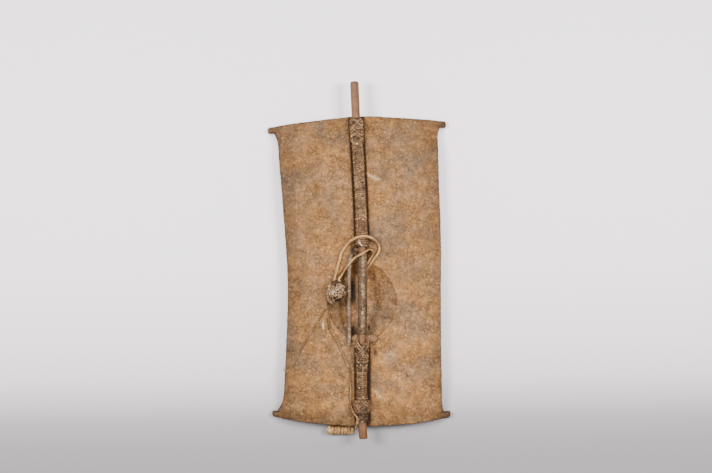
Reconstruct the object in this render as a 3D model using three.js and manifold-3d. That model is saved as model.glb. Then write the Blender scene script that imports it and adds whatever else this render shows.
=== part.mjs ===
// Rectangular rawhide shield with a central boss, a stick lashed down the middle of its back,
// a covered grip over the hollow of the boss, and its carrying thong.
// Millimetres. The shield lies on its front: +Z points out of its back, +Y runs along the stick
// towards its long plain end, and +X points right when the back is looked at with +Y up.
// The origin is under the middle of the shield, on the surface that it lies on.
import * as THREE from 'three';
import { mergeVertices } from 'three/addons/utils/BufferGeometryUtils.js';
import Module from 'manifold-3d';

const wasm = await Module();
wasm.setup();

// ---------------------------------------------------------------- driving dimensions
const GAP = 0.3;                  // clearance between pieces that touch

// hide
const HIDE_THICK = 5.5;
const BACK_Z = 45.5;              // height of the flat of the back
const TOP_Y = 360.3;              // middle of the top edge
const BOTTOM_Y = -416;            // middle of the bottom edge
const TOP_FALL_LEFT = 24, TOP_FALL_RIGHT = 15, TOP_FALL_POWER = 1.1;
const BOTTOM_FALL_LEFT = 24, BOTTOM_FALL_RIGHT = 15, BOTTOM_POWER_LEFT = 1.5, BOTTOM_POWER_RIGHT = 2;
const LEFT_WAIST = 178, LEFT_END = 198, LEFT_WAIST_Y = -60, LEFT_REACH = 348, LEFT_POWER = 1.3;
const RIGHT_HALF = 201.5, RIGHT_BELLY = 4, RIGHT_BELLY_Y = 40, RIGHT_BELLY_RUN = 120;
const SIDE_FALL = 12, SIDE_FALL_FROM = 0.75;   // long edges curl towards the front
const END_FALL = 3.5, END_FALL_RUN = 40;

// corner ears: the rolled tips of the four corners, turned down to the surface
const EAR_TIP_X = 224.5;
const EAR_HIGH = 17.5;
const EAR_THICK = 15;
const EAR_FALL_RUN = 95;
const FLARE = {                   // how far each corner swings out before its ear, and over what length
  topLeft: [8, 30], topRight: [6, 26], bottomLeft: [15, 46], bottomRight: [6, 32],
};

// boss, hollow on this side
const BOSS_X = 5.5, BOSS_Y = -104.5;
const BOSS_HALF_X = 87, BOSS_HALF_Y = 101;
const BOSS_POWER = 1.78;          // 2 would be an ellipse: less makes the ends pointed
const BOSS_DEPTH = 40;
const BOSS_FLAT = 0.22;           // share of the radius that is flat
const BOSS_ROUND = 1.6;

// groove for the stick, a ridge on the front
const GROOVE_DEEP = 12, GROOVE_HALF = 21;

// stick
const STICK_HALF = 445.5;
const STICK_Z = 53, STICK_BOW = 6.5, STICK_BOW_Y = -85, STICK_BOW_RUN = 190;
const STICK_BEND = [8.14, 0.0824, -1.0468, -0.0522, 0.0308];   // x of the axis, powers of y/100
const STICK_SIDES = 14;
const STICK_RADIUS = [            // y, radius
  [-445.5, 10.6], [-441, 11.2], [-400, 10.6], [-300, 9.6], [-200, 9.0], [-140, 8.6], [-60, 8.5],
  [20, 9.0], [120, 9.4], [240, 10.0], [340, 10.8], [400, 11.2], [441, 11.0], [445.5, 10.2],
];

// cross pieces under the stick, in notches: a round peg above the grip, a flat toggle below it
const PEG_R = 5;                  // half their thickness
const UPPER_PEG = { y: 26, x0: -12.5, x1: 39, wide: 5 };
const LOWER_PEG = { y: -196, x0: -21.5, x1: 43, wide: 9.8 };   // wide: half their width along the stick

// lashings and grip cover: outer radius along the stick
const UPPER_LASHING = [
  [33, 16.5], [42, 18.2], [54, 17.2], [68, 15.2], [110, 14.2], [170, 14.2], [235, 14.4], [292, 14.8],
  [300, 16.4], [325, 16.8], [348, 16.2], [355, 14.2],
];
const LOWER_LASHING = [
  [-404, 12.6], [-392, 14.4], [-380, 18.5], [-366, 21], [-352, 20.2], [-343, 15.6], [-330, 13.7],
  [-284, 13.9], [-272, 16], [-240, 16.6], [-215, 18.2], [-207.5, 16.6],
];
const GRIP_COVER = [[-184, 10.9], [-179, 11.6], [-84, 11.4], [12, 11.6], [19, 10.9]];

// rolled strip beside the grip
const STRAP_R = 5;
const STRAP = [[-18.6, 15.5], [-21.4, 8], [-24, -6], [-26, -45], [-27, -99], [-27.3, -150], [-28, -190], [-28.6, -213]];

// knotted knob on the thong
const KNOB = { x: -60, y: -78.5, rx: 25.5, ry: 31, rz: 20.5, turn: -0.35 };

// wound end of the tail thong, on the ground below the bottom edge
const WOUND = { x0: -85, x1: -18.5, y: -428.6, r: 12.3, waist: 10.9, turns: 7 };

// thongs: plan of each route (x, y) and its radius
const WRIST_R = 3, EDGE_R = 1.6, TAIL_R = 2.3;
const WRIST_A = [[-61.5, -42.5], [-55, -19], [-40.8, 24], [-29.5, 39], [-21.5, 48], [-12, 53.5], [-1.8, 57.6], [10, 60.2], [23, 58.6],
  [34, 54], [43.2, 46], [49.5, 37.5], [51.9, 28], [48.5, 17], [41.6, 8], [34.5, -1.5]];
const WRIST_B = [[-51.5, -47.5], [-44.5, -38], [-35.3, -21.8], [-22.9, -6.5], [-11.5, 5.5], [4.6, 14.4], [17.5, 22.4],
  [29, 27], [35.4, 23.2], [36.8, 17], [33.7, 9.2], [27.3, 1]];
const WRIST_A_TUCK = [[28.6, -9.4, 50], [24, -16, 46.6], [19, -22.5, 44.2], [13, -28.5, 43.6]];   // under the right side of the grip
const WRIST_B_TUCK = [[22.8, -6.2, 49.6], [17.8, -13, 45.8], [12.8, -18.8, 43.8]];
const EDGE = [[-68, -113.5], [-86, -123], [-98.5, -140.5], [-109.5, -157], [-125, -181.5], [-140.5, -207.5], [-150.8, -223.5],
  [-159.4, -246.5], [-168, -262.6], [-181.7, -274.7], [-190.5, -275.6], [-194.2, -272], [-191.5, -266.5]];
const TAIL = [[-62, -116.5], [-75.5, -127.5], [-78.6, -145.5], [-78.2, -160.3], [-60, -195.6], [-39, -245.8], [-27.2, -277.5],
  [-26.5, -300], [-26, -325], [-26.6, -345], [-25.5, -362], [-20.5, -377.5], [-13, -388], [-9.6, -395.5], [-10.2, -404]];
const TAIL_DROP = [[-11.6, -413.5, 46], [-13.4, -420.6, 38.5], [-14.8, -426.4, 27], [-15.4, -428.6, 15]];

// ---------------------------------------------------------------- small helpers
const clamp = (t, a = 0, b = 1) => Math.min(b, Math.max(a, t));
const smooth = (a, b, t) => { const s = clamp((t - a) / (b - a)); return s * s * (3 - 2 * s); };
function table(rows, t) {
  if (t <= rows[0][0]) return rows[0][1];
  for (let i = 1; i < rows.length; i += 1) {
    if (t <= rows[i][0]) {
      const k = (t - rows[i - 1][0]) / (rows[i][0] - rows[i - 1][0]);
      return rows[i - 1][1] + k * (rows[i][1] - rows[i - 1][1]);
    }
  }
  return rows[rows.length - 1][1];
}

// ---------------------------------------------------------------- the hide as functions of x and y
const topEdge = (x) => TOP_Y - (x < 0 ? TOP_FALL_LEFT : TOP_FALL_RIGHT) * (Math.abs(x) / EAR_TIP_X) ** TOP_FALL_POWER;
const bottomEdge = (x) => (x < 0
  ? BOTTOM_Y + BOTTOM_FALL_LEFT * (-x / EAR_TIP_X) ** BOTTOM_POWER_LEFT
  : BOTTOM_Y + BOTTOM_FALL_RIGHT * (x / EAR_TIP_X) ** BOTTOM_POWER_RIGHT);

function halfWidth(side, y) {
  const plain = side < 0
    ? LEFT_WAIST + (LEFT_END - LEFT_WAIST) * (Math.abs(y - LEFT_WAIST_Y) / LEFT_REACH) ** LEFT_POWER
    : RIGHT_HALF + RIGHT_BELLY * Math.exp(-(((y - RIGHT_BELLY_Y) / RIGHT_BELLY_RUN) ** 2));
  const up = side < 0 ? FLARE.topLeft : FLARE.topRight;
  const down = side < 0 ? FLARE.bottomLeft : FLARE.bottomRight;
  const atTop = topEdge(side * 210) - EAR_HIGH - y;      // distance to the ear's root
  const atBottom = y - bottomEdge(side * 210) - EAR_HIGH;
  const flare = (f, d) => f[0] * clamp(1 - d / f[1]) ** 2;
  return Math.min(plain, 206) + flare(up, atTop) + flare(down, atBottom);
}

const stickX = (y) => STICK_BEND.reduce((s, c, i) => s + c * (y / 100) ** i, 0);
const stickZ = (y) => STICK_Z + STICK_BOW * Math.exp(-(((y - STICK_BOW_Y) / STICK_BOW_RUN) ** 4));
const stickR = (y) => table(STICK_RADIUS, y);

function bossRadius(x, y) {
  const a = Math.abs((x - BOSS_X) / BOSS_HALF_X) ** BOSS_POWER;
  const b = Math.abs((y - BOSS_Y) / BOSS_HALF_Y) ** BOSS_POWER;
  return (a + b) ** (1 / BOSS_POWER);
}

function backZ(x, y) {
  const side = x < 0 ? -1 : 1;
  const half = halfWidth(side, y);
  const sx = Math.abs(x) / half;
  const end = Math.min(topEdge(x) - y, y - bottomEdge(x));
  let z = BACK_Z;
  z -= SIDE_FALL * clamp((sx - SIDE_FALL_FROM) / (1 - SIDE_FALL_FROM)) ** 2;
  z -= END_FALL * clamp(1 - end / END_FALL_RUN) ** 2;
  const corner = Math.hypot(Math.max(0, half - Math.abs(x)), Math.max(0, end - EAR_HIGH / 2));
  z -= (BACK_Z - SIDE_FALL - END_FALL - EAR_THICK) * smooth(0, 1, 1 - corner / EAR_FALL_RUN);
  const r = bossRadius(x, y);
  if (r < 1) z -= BOSS_DEPTH * (1 - (Math.max(0, r - BOSS_FLAT) / (1 - BOSS_FLAT)) ** BOSS_ROUND);
  const off = Math.abs(x - stickX(y)) / GROOVE_HALF;
  if (off < 1) z -= GROOVE_DEEP * Math.cos(0.5 * Math.PI * off) ** 2 * smooth(1.0, 1.2, r);
  return z;
}

function thickness(x, y) {
  const side = x < 0 ? -1 : 1;
  const half = halfWidth(side, y);
  return HIDE_THICK + (EAR_THICK - HIDE_THICK) * smooth(half - 6, half + 6, Math.abs(x)) * (Math.abs(x) > 205 ? 1 : 0.35);
}

// ---------------------------------------------------------------- meshes
function solid(positions, index) {
  const g = new THREE.BufferGeometry();
  g.setAttribute('position', new THREE.BufferAttribute(new Float32Array(positions), 3));
  g.setIndex(index);
  return g;
}

function outward(geometry) {
  geometry.deleteAttribute('normal');
  geometry.deleteAttribute('uv');
  const g = mergeVertices(geometry, 1e-4);
  const p = g.getAttribute('position');
  const idx = Array.from(g.getIndex().array);
  const keep = [];
  for (let i = 0; i < idx.length; i += 3) {
    if (idx[i] !== idx[i + 1] && idx[i + 1] !== idx[i + 2] && idx[i] !== idx[i + 2]) keep.push(idx[i], idx[i + 1], idx[i + 2]);
  }
  const a = new THREE.Vector3(), b = new THREE.Vector3(), c = new THREE.Vector3();
  let volume = 0;
  for (let i = 0; i < keep.length; i += 3) {
    a.fromBufferAttribute(p, keep[i]); b.fromBufferAttribute(p, keep[i + 1]); c.fromBufferAttribute(p, keep[i + 2]);
    volume += a.dot(b.cross(c));
  }
  if (volume < 0) for (let i = 0; i < keep.length; i += 3) [keep[i + 1], keep[i + 2]] = [keep[i + 2], keep[i + 1]];
  g.setIndex(keep);
  return g;
}

function toManifold(geometry) {
  const g = outward(geometry);
  return new wasm.Manifold(new wasm.Mesh({
    numProp: 3,
    vertProperties: new Float32Array(g.getAttribute('position').array),
    triVerts: new Uint32Array(g.getIndex().array),
  }));
}

function fromManifold(m) {
  const mesh = m.getMesh();
  return outward(solid(mesh.vertProperties, Array.from(mesh.triVerts)));
}

// hide: two skins over one plan grid, closed by a rim
function hideGeometry() {
  const cols = [0, 7, 13, 18, 26, 42, 58, 74, 92, 116, 142, 166, 186, 196, 200];
  const xs = [...cols.slice(1).reverse().map((c) => -c), ...cols];
  const near = [0, 5.5, 12, EAR_HIGH, EAR_HIGH + 4, 29, 42, 66];             // rows counted from each end
  const top = near.map((d) => TOP_Y - d);
  const bottom = near.map((d) => BOTTOM_Y + d);
  const ys = [...bottom];
  const last = bottom[bottom.length - 1];
  const bossLow = BOSS_Y - BOSS_HALF_Y - 8, bossHigh = BOSS_Y + BOSS_HALF_Y + 8;
  for (let i = 1; i <= 4; i += 1) ys.push(last + (bossLow - last) * (i / 4));
  for (let i = 1; i <= 15; i += 1) ys.push(bossLow + (bossHigh - bossLow) * (i / 15));
  const first = top[top.length - 1];
  for (let i = 1; i <= 6; i += 1) ys.push(bossHigh + (first - bossHigh) * (i / 6));
  ys.push(...top.slice(0, -1).reverse());

  const plan = (xn, yn) => {
    const side = xn < 0 ? -1 : 1;
    const dTop = TOP_Y - yn, dBottom = yn - BOTTOM_Y;
    const k = smooth(0.1, 0.95, Math.abs(xn) / 200);
    const half = halfWidth(side, yn + (dTop < 160 ? (topEdge(side * 210) - TOP_Y) * clamp(1 - dTop / 160) : 0)
      + (dBottom < 160 ? (bottomEdge(side * 210) - BOTTOM_Y) * clamp(1 - dBottom / 160) : 0));
    let x = stickX(yn) * (1 - k) + xn * (1 + (half / 200 - 1) * k);
    const d = Math.min(dTop, dBottom);
    if (d <= EAR_HIGH + 0.01 && Math.abs(xn) > 190) {
      const tip = EAR_TIP_X - (d < 1 || d > EAR_HIGH - 1 ? 2.5 : 0);
      x = side * (Math.abs(xn) > 199 ? tip : half + 0.35 * (tip - half));
    }
    let y = yn;
    if (dTop < 160) y += (topEdge(x) - TOP_Y) * clamp(1 - dTop / 160);
    if (dBottom < 160) y += (bottomEdge(x) - BOTTOM_Y) * clamp(1 - dBottom / 160);
    // grid points near the rim of the boss sit on it, so that its crease is an edge
    const r = bossRadius(x, y);
    if (Math.abs(r - 1) < 0.09) { x = BOSS_X + (x - BOSS_X) / r; y = BOSS_Y + (y - BOSS_Y) / r; }
    return [x, y];
  };

  const nx = xs.length, ny = ys.length;
  const pos = [];
  for (const skin of [0, 1]) {
    for (let j = 0; j < ny; j += 1) {
      for (let i = 0; i < nx; i += 1) {
        const [x, y] = plan(xs[i], ys[j]);
        let z = backZ(x, y);
        const ear = Math.abs(x) > 209;
        if (skin === 1) z = ear ? 0 : Math.max(0, z - thickness(x, y));
        else if (ear && (i === 0 || i === nx - 1)) z -= 3;
        pos.push(x, y, z);
      }
    }
  }
  const at = (skin, i, j) => skin * nx * ny + j * nx + i;
  const index = [];
  for (let j = 0; j < ny - 1; j += 1) {
    for (let i = 0; i < nx - 1; i += 1) {
      const rim = (k) => Math.abs(bossRadius(pos[3 * k], pos[3 * k + 1]) - 1) < 0.002;
      const [ra, rb, rc, rd] = [at(0, i, j), at(0, i + 1, j), at(0, i + 1, j + 1), at(0, i, j + 1)].map(rim);
      const flip = (ra && rc) || (!(rb && rd) && (xs[i] + xs[i + 1] < 0) === (ys[j] < BOSS_Y));
      const q = (s) => [at(s, i, j), at(s, i + 1, j), at(s, i + 1, j + 1), at(s, i, j + 1)];
      const [a, b, c, d] = q(0);
      if (flip) index.push(a, b, c, a, c, d); else index.push(a, b, d, b, c, d);
      const [e, f, g, h] = q(1);
      if (flip) index.push(e, g, f, e, h, g); else index.push(e, h, f, f, h, g);
    }
  }
  for (let i = 0; i < nx - 1; i += 1) {
    index.push(at(0, i + 1, 0), at(0, i, 0), at(1, i, 0), at(0, i + 1, 0), at(1, i, 0), at(1, i + 1, 0));
    index.push(at(0, i, ny - 1), at(0, i + 1, ny - 1), at(1, i + 1, ny - 1), at(0, i, ny - 1), at(1, i + 1, ny - 1), at(1, i, ny - 1));
  }
  for (let j = 0; j < ny - 1; j += 1) {
    index.push(at(0, 0, j), at(0, 0, j + 1), at(1, 0, j + 1), at(0, 0, j), at(1, 0, j + 1), at(1, 0, j));
    index.push(at(0, nx - 1, j + 1), at(0, nx - 1, j), at(1, nx - 1, j), at(0, nx - 1, j + 1), at(1, nx - 1, j), at(1, nx - 1, j + 1));
  }
  return outward(solid(pos, index));
}

// a turned profile (radius, y), laid along the stick and bent with it
function alongStick(profile, clearHide) {
  const g = new THREE.LatheGeometry(profile.map(([r, y]) => new THREE.Vector2(r, y)), STICK_SIDES);
  const p = g.getAttribute('position');
  for (let i = 0; i < p.count; i += 1) {
    const y = p.getY(i);
    const x = p.getX(i) + stickX(y);
    let z = p.getZ(i) + stickZ(y);
    if (clearHide && Math.hypot(p.getX(i), p.getZ(i)) > stickR(y) + 1) z = Math.max(z, backZ(x, y) + (y > -240 && y < 40 ? 4.2 : 1.2));
    p.setXYZ(i, x, y, z);
  }
  return outward(g);
}

function stickGeometry() {
  const profile = [[0, STICK_RADIUS[0][0]]];
  const rows = STICK_RADIUS.map((r) => r[0]);
  for (const y of [-360, -240, -170, -110, -20, 60, 180, 290]) rows.push(y);
  rows.sort((a, b) => a - b);
  for (const y of rows) profile.push([stickR(y), y]);
  profile.push([0, STICK_HALF]);
  let m = toManifold(alongStick(profile, false));
  for (const peg of [UPPER_PEG, LOWER_PEG]) m = m.subtract(toManifold(pegGeometry(peg, GAP, 12)));
  return fromManifold(m);
}

function pegZ() { return BACK_Z + PEG_R + 0.5; }

function pegGeometry(peg, grow = 0, over = 0) {
  const r = PEG_R + grow;
  const g = new THREE.LatheGeometry([
    [0, peg.x0 - over], [r - 1, peg.x0 - over], [r, peg.x0 - over + 1.5], [r, peg.x1 + over - 1.5], [r - 1, peg.x1 + over], [0, peg.x1 + over],
  ].map(([a, b]) => new THREE.Vector2(a, b)), 12);
  g.rotateZ(-Math.PI / 2);
  g.scale(1, (peg.wide + grow) / r, 1);
  g.translate(0, peg.y, pegZ());
  return g;
}

function sleeve(rows) {
  const ys = [];
  for (let i = 0; i < rows.length; i += 1) {
    ys.push(rows[i][0]);
    if (i < rows.length - 1 && rows[i + 1][0] - rows[i][0] > 62) ys.push((rows[i][0] + rows[i + 1][0]) / 2);
  }
  const outer = ys.map((y) => [table(rows, y), y]);
  const inner = ys.filter((y, i) => i === 0 || i === ys.length - 1 || i % 2 === 0).reverse().map((y) => [stickR(y) + GAP + 0.15, y]);
  return alongStick([...outer, ...inner, outer[0]], true);
}

// a round cord along a curve
function cord(points, radius, steps, sides = 8) {
  const curve = new THREE.CatmullRomCurve3(points.map((p) => new THREE.Vector3(...p)), false, 'centripetal');
  const ring = new THREE.Shape(Array.from({ length: sides }, (_, i) => {
    const a = (2 * Math.PI * i) / sides;
    return new THREE.Vector2(radius * Math.cos(a), radius * Math.sin(a));
  }));
  return outward(new THREE.ExtrudeGeometry(ring, { steps, extrudePath: curve, bevelEnabled: false }));
}

function knobGeometry() {
  const g = new THREE.SphereGeometry(1, 14, 9);
  const p = g.getAttribute('position');
  for (let i = 0; i < p.count; i += 1) {
    const v = new THREE.Vector3(p.getX(i), p.getY(i), p.getZ(i));
    const lobes = 1 + 0.05 * Math.sin(3 * Math.atan2(v.y, v.x)) * Math.hypot(v.x, v.y);
    p.setXYZ(i, v.x * KNOB.rx * lobes, v.y * KNOB.ry * lobes, v.z * KNOB.rz);
  }
  g.rotateZ(KNOB.turn);
  g.translate(KNOB.x, KNOB.y, 0);
  let lift = -1e9;
  for (let i = 0; i < p.count; i += 1) lift = Math.max(lift, backZ(p.getX(i), p.getY(i)) - p.getZ(i));
  g.translate(0, 0, lift + 0.8);
  g.userData.z = lift + 0.8;
  return g;
}

const knobShape = knobGeometry();
const KNOB_Z = knobShape.userData.z;

const strapPath = STRAP.map(([x, y], i) => [x, y, Math.max(backZ(x, y), BACK_Z - 1) + STRAP_R + 1.2 + (i > 1 && i < 6 ? 1.5 : 0)]);

// ---------------------------------------------------------------- what a thong lies on
function support(x, y) {
  let z = backZ(x, y);
  if (y < bottomEdge(x) || Math.abs(x) > halfWidth(x < 0 ? -1 : 1, y) + 1) z = 0;
  const ridge = (r) => {
    const d = Math.abs(x - stickX(y));
    if (d < r) z = Math.max(z, stickZ(y) + Math.sqrt(r * r - d * d));
  };
  if (Math.abs(y) <= STICK_HALF) ridge(stickR(y));
  for (const rows of [UPPER_LASHING, LOWER_LASHING, GRIP_COVER]) {
    if (y >= rows[0][0] && y <= rows[rows.length - 1][0]) ridge(table(rows, y));
  }
  for (const peg of [UPPER_PEG, LOWER_PEG]) {
    const d = (Math.abs(y - peg.y) * PEG_R) / peg.wide;
    if (x > peg.x0 && x < peg.x1 && d < PEG_R) z = Math.max(z, pegZ() + Math.sqrt(PEG_R * PEG_R - d * d));
  }
  for (let i = 1; i < strapPath.length; i += 1) {
    const [a, b] = [strapPath[i - 1], strapPath[i]];
    if (y <= a[1] && y >= b[1]) {
      const k = (y - a[1]) / (b[1] - a[1]);
      const d = Math.abs(x - (a[0] + k * (b[0] - a[0])));
      if (d < STRAP_R) z = Math.max(z, a[2] + k * (b[2] - a[2]) + Math.sqrt(STRAP_R * STRAP_R - d * d));
    }
  }
  return z;
}

// height of a thong's axis: a ball of its radius rests on what is under it
function restingZ(x, y, radius) {
  const r = radius + (radius > 2.5 ? 1.5 : 0.9);
  let z = support(x, y) + r;
  for (let ring = 1; ring <= 3; ring += 1) {
    const d = (r * ring) / 3;
    for (let a = 0; a < 12; a += 1) {
      const t = (2 * Math.PI * a) / 12;
      z = Math.max(z, support(x + d * Math.cos(t), y + d * Math.sin(t)) + Math.sqrt(Math.max(0, r * r - d * d)));
    }
  }
  return z;
}

// a route laid over the shield: never under the resting height, and never steeper than it can bend
function layOver(plan, radius, options = {}) {
  const { slope = 0.75, after = [], spacing = 6 } = options;
  const flat = new THREE.CatmullRomCurve3(plan.map(([x, y]) => new THREE.Vector3(x, y, 0)), false, 'centripetal');
  const n = Math.round(flat.getLength() / spacing);
  const pts = flat.getSpacedPoints(n).map((p) => [p.x, p.y, 0]);
  const step = flat.getLength() / n;
  const z = pts.map(([x, y]) => restingZ(x, y, radius));
  const up = z.map((_, i) => {
    let best = z[i];
    for (let j = 0; j <= n; j += 1) {
      best = Math.max(best, z[j] - slope * step * Math.abs(i - j));
    }
    return best;
  });
  return [...pts.map(([x, y], i) => [x, y, up[i]]), ...after];
}

const thongs = {
  wrist_thong_a: { plan: WRIST_A, r: WRIST_R, after: WRIST_A_TUCK },
  wrist_thong_b: { plan: WRIST_B, r: WRIST_R, after: WRIST_B_TUCK },
  edge_thong: { plan: EDGE, r: EDGE_R, after: [] },
  tail_thong: { plan: TAIL, r: TAIL_R, after: TAIL_DROP },
};

const colour = {
  hide: [0x9a7854, 0.8], stick: [0x70503a, 0.6], peg: [0x7d6048, 0.7], lashing: [0x57402e, 0.8],
  cover: [0x5c4430, 0.7], strap: [0x6e6152, 0.75], knob: [0x4a3626, 0.8], thong: [0xb59a74, 0.8], wound: [0xb79a70, 0.8],
};

const group = new THREE.Group();
function add(name, geometry, look) {
  const mesh = new THREE.Mesh(geometry, new THREE.MeshStandardMaterial({ color: look[0], roughness: look[1], metalness: 0 }));
  mesh.name = name;
  group.add(mesh);
}

add('hide_body', hideGeometry(), colour.hide);
add('stick', stickGeometry(), colour.stick);
add('upper_cross_peg', outward(pegGeometry(UPPER_PEG)), colour.peg);
add('lower_cross_peg', outward(pegGeometry(LOWER_PEG)), colour.peg);
add('upper_lashing', sleeve(UPPER_LASHING), colour.lashing);
add('lower_lashing', sleeve(LOWER_LASHING), colour.lashing);
add('grip_cover', sleeve(GRIP_COVER), colour.cover);
add('side_strap', cord(strapPath, STRAP_R, 14, 10), colour.strap);
add('knob', outward(knobShape), colour.knob);

// wound end: a short roll of turns lying along x
{
  const profile = [[0, WOUND.x0]];
  const pitch = (WOUND.x1 - WOUND.x0) / WOUND.turns;
  for (let i = 0; i < WOUND.turns; i += 1) {
    profile.push([WOUND.waist, WOUND.x0 + pitch * i + (i === 0 ? 0 : 0.01)]);
    profile.push([WOUND.r, WOUND.x0 + pitch * (i + 0.5)]);
  }
  profile.push([WOUND.waist, WOUND.x1], [0, WOUND.x1]);
  const g = new THREE.LatheGeometry(profile.map(([a, b]) => new THREE.Vector2(a, b)), 12);
  g.rotateZ(-Math.PI / 2);
  g.rotateX(Math.PI / 12);
  g.translate(0, WOUND.y, WOUND.r * Math.cos(Math.PI / 12) + 0.02);
  add('wound_end', outward(g), colour.wound);
}

// thongs
export const routes = {};
for (const [name, t] of Object.entries(thongs)) {
  const route = layOver(t.plan, t.r, { after: t.after, spacing: t.r > 2.5 ? 5 : 7 });
  routes[name] = route;
  const steps = Math.round(new THREE.CatmullRomCurve3(route.map((p) => new THREE.Vector3(...p))).getLength() / (t.r * 2 * (t.r > 2.5 ? 1.7 : 2.4)));
  add(name, cord(route, t.r, Math.min(48, steps)), colour.thong);
}

export default group;
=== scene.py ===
import math

import bpy
import numpy as np
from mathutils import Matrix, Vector


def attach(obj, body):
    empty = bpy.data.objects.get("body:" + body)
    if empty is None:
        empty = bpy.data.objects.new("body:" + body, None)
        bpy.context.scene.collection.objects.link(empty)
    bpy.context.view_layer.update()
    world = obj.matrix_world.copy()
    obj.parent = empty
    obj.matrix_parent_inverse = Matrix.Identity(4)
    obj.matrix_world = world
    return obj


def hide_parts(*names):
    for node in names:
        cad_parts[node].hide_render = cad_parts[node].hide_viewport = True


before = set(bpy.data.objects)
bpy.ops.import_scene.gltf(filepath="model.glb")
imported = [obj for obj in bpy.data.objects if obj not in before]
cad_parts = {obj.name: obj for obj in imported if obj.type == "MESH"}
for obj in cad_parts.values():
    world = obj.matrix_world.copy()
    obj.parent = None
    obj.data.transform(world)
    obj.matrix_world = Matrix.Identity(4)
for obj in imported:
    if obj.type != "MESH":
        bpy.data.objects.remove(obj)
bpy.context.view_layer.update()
RNG = np.random.default_rng(7)
TAU = 2 * math.pi

# ------------------------------------------------------------------ camera, lights, floor
ROLL = math.radians(0.895)      # the shield leans a little to the left in the view
VIEW_X, VIEW_Y = -0.0067, 0.0592
CAM_D = 3.0
cam_data = bpy.data.cameras.new("camera")
cam_data.sensor_width = 36
cam_data.lens = 36 * CAM_D / 1.780
cam = bpy.data.objects.new("camera", cam_data)
cam.location = (VIEW_X, VIEW_Y, CAM_D + 0.045)
cam.rotation_euler = (0, 0, -ROLL)
bpy.context.scene.collection.objects.link(cam)
bpy.context.scene.camera = cam


def area(name, loc, target, size, power, colour=(1, 1, 1)):
    data = bpy.data.lights.new(name, "AREA")
    data.shape = "RECTANGLE"
    data.size, data.size_y = size
    data.energy = power
    data.color = colour
    o = bpy.data.objects.new(name, data)
    o.location = loc
    o.rotation_euler = (Vector(target) - Vector(loc)).to_track_quat("-Z", "Y").to_euler()
    bpy.context.scene.collection.objects.link(o)
    return o


area("lamp_left", (-1.45, 0.35, 2.05), (0, 0, 0), (0.55, 0.9), 96, (1, 0.985, 0.965))
area("lamp_right", (1.45, 0.35, 2.05), (0, 0, 0), (0.55, 0.9), 96, (1, 0.985, 0.965))
area("lamp_top", (0, 1.3, 2.4), (0, 0, 0), (1.2, 0.8), 24, (1, 1, 1))

world = bpy.data.worlds.new("world")
bpy.context.scene.world = world
world.use_nodes = True
world.node_tree.nodes["Background"].inputs[0].default_value = (0.95, 0.97, 1.0, 1)
world.node_tree.nodes["Background"].inputs[1].default_value = 0.75


def hash01(ix, iy, iz, seed):
    h = (ix.astype(np.int64) * 374761393 + iy.astype(np.int64) * 668265263 + iz.astype(np.int64) * 1442695041 + seed * 974711) & 0xFFFFFFFF
    h = ((h ^ (h >> 13)) * 1274126177) & 0xFFFFFFFF
    h = ((h ^ (h >> 16)) * 2246822519) & 0xFFFFFFFF
    return ((h ^ (h >> 15)) & 0xFFFFFF) / float(0xFFFFFF)


def vnoise(x, y, z=0.0, seed=0):
    """Smooth value noise, -1 to 1."""
    x, y, z = np.broadcast_arrays(np.asarray(x, float), np.asarray(y, float), np.asarray(z, float))
    ix, iy, iz = np.floor(x), np.floor(y), np.floor(z)
    fx, fy, fz = x - ix, y - iy, z - iz
    u, v, w = [f * f * f * (f * (f * 6 - 15) + 10) for f in (fx, fy, fz)]
    out = 0
    for dx in (0, 1):
        for dy in (0, 1):
            for dz in (0, 1):
                wgt = (u if dx else 1 - u) * (v if dy else 1 - v) * (w if dz else 1 - w)
                out = out + wgt * hash01(ix + dx, iy + dy, iz + dz, seed)
    return out * 2 - 1


def fbm(x, y, z=0.0, octaves=4, seed=0, gain=0.5):
    total, amp, freq = 0, 1.0, 1.0
    for o in range(octaves):
        total = total + amp * vnoise(np.asarray(x) * freq, np.asarray(y) * freq, np.asarray(z) * freq, seed + 17 * o)
        amp *= gain
        freq *= 2.03
    return total


def smooth(a, b, t):
    s = np.clip((np.asarray(t, float) - a) / (b - a), 0, 1)
    return s * s * (3 - 2 * s)


def catmull(points, n, alpha=0.5):
    """n points evenly spaced along a centripetal curve through the given ones."""
    p = np.asarray(points, float)
    p = np.vstack([2 * p[0] - p[1], p, 2 * p[-1] - p[-2]])
    out = []
    for i in range(1, len(p) - 2):
        p0, p1, p2, p3 = p[i - 1 : i + 3]
        t0 = 0.0
        t1 = t0 + max(1e-6, np.linalg.norm(p1 - p0)) ** alpha
        t2 = t1 + max(1e-6, np.linalg.norm(p2 - p1)) ** alpha
        t3 = t2 + max(1e-6, np.linalg.norm(p3 - p2)) ** alpha
        t = np.linspace(t1, t2, 16, endpoint=False)[:, None]
        a1 = (t1 - t) / (t1 - t0) * p0 + (t - t0) / (t1 - t0) * p1
        a2 = (t2 - t) / (t2 - t1) * p1 + (t - t1) / (t2 - t1) * p2
        a3 = (t3 - t) / (t3 - t2) * p2 + (t - t2) / (t3 - t2) * p3
        b1 = (t2 - t) / (t2 - t0) * a1 + (t - t0) / (t2 - t0) * a2
        b2 = (t3 - t) / (t3 - t1) * a2 + (t - t1) / (t3 - t1) * a3
        out.append((t2 - t) / (t2 - t1) * b1 + (t - t1) / (t2 - t1) * b2)
    dense = np.vstack(out + [p[-2][None]])
    return resample(dense, n)


def resample(p, n):
    p = np.asarray(p, float)
    s = np.concatenate([[0], np.cumsum(np.linalg.norm(np.diff(p, axis=0), axis=1))])
    t = np.linspace(0, s[-1], n)
    return np.stack([np.interp(t, s, p[:, k]) for k in range(p.shape[1])], 1)


def length(p):
    return float(np.linalg.norm(np.diff(np.asarray(p, float), axis=0), axis=1).sum())


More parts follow.
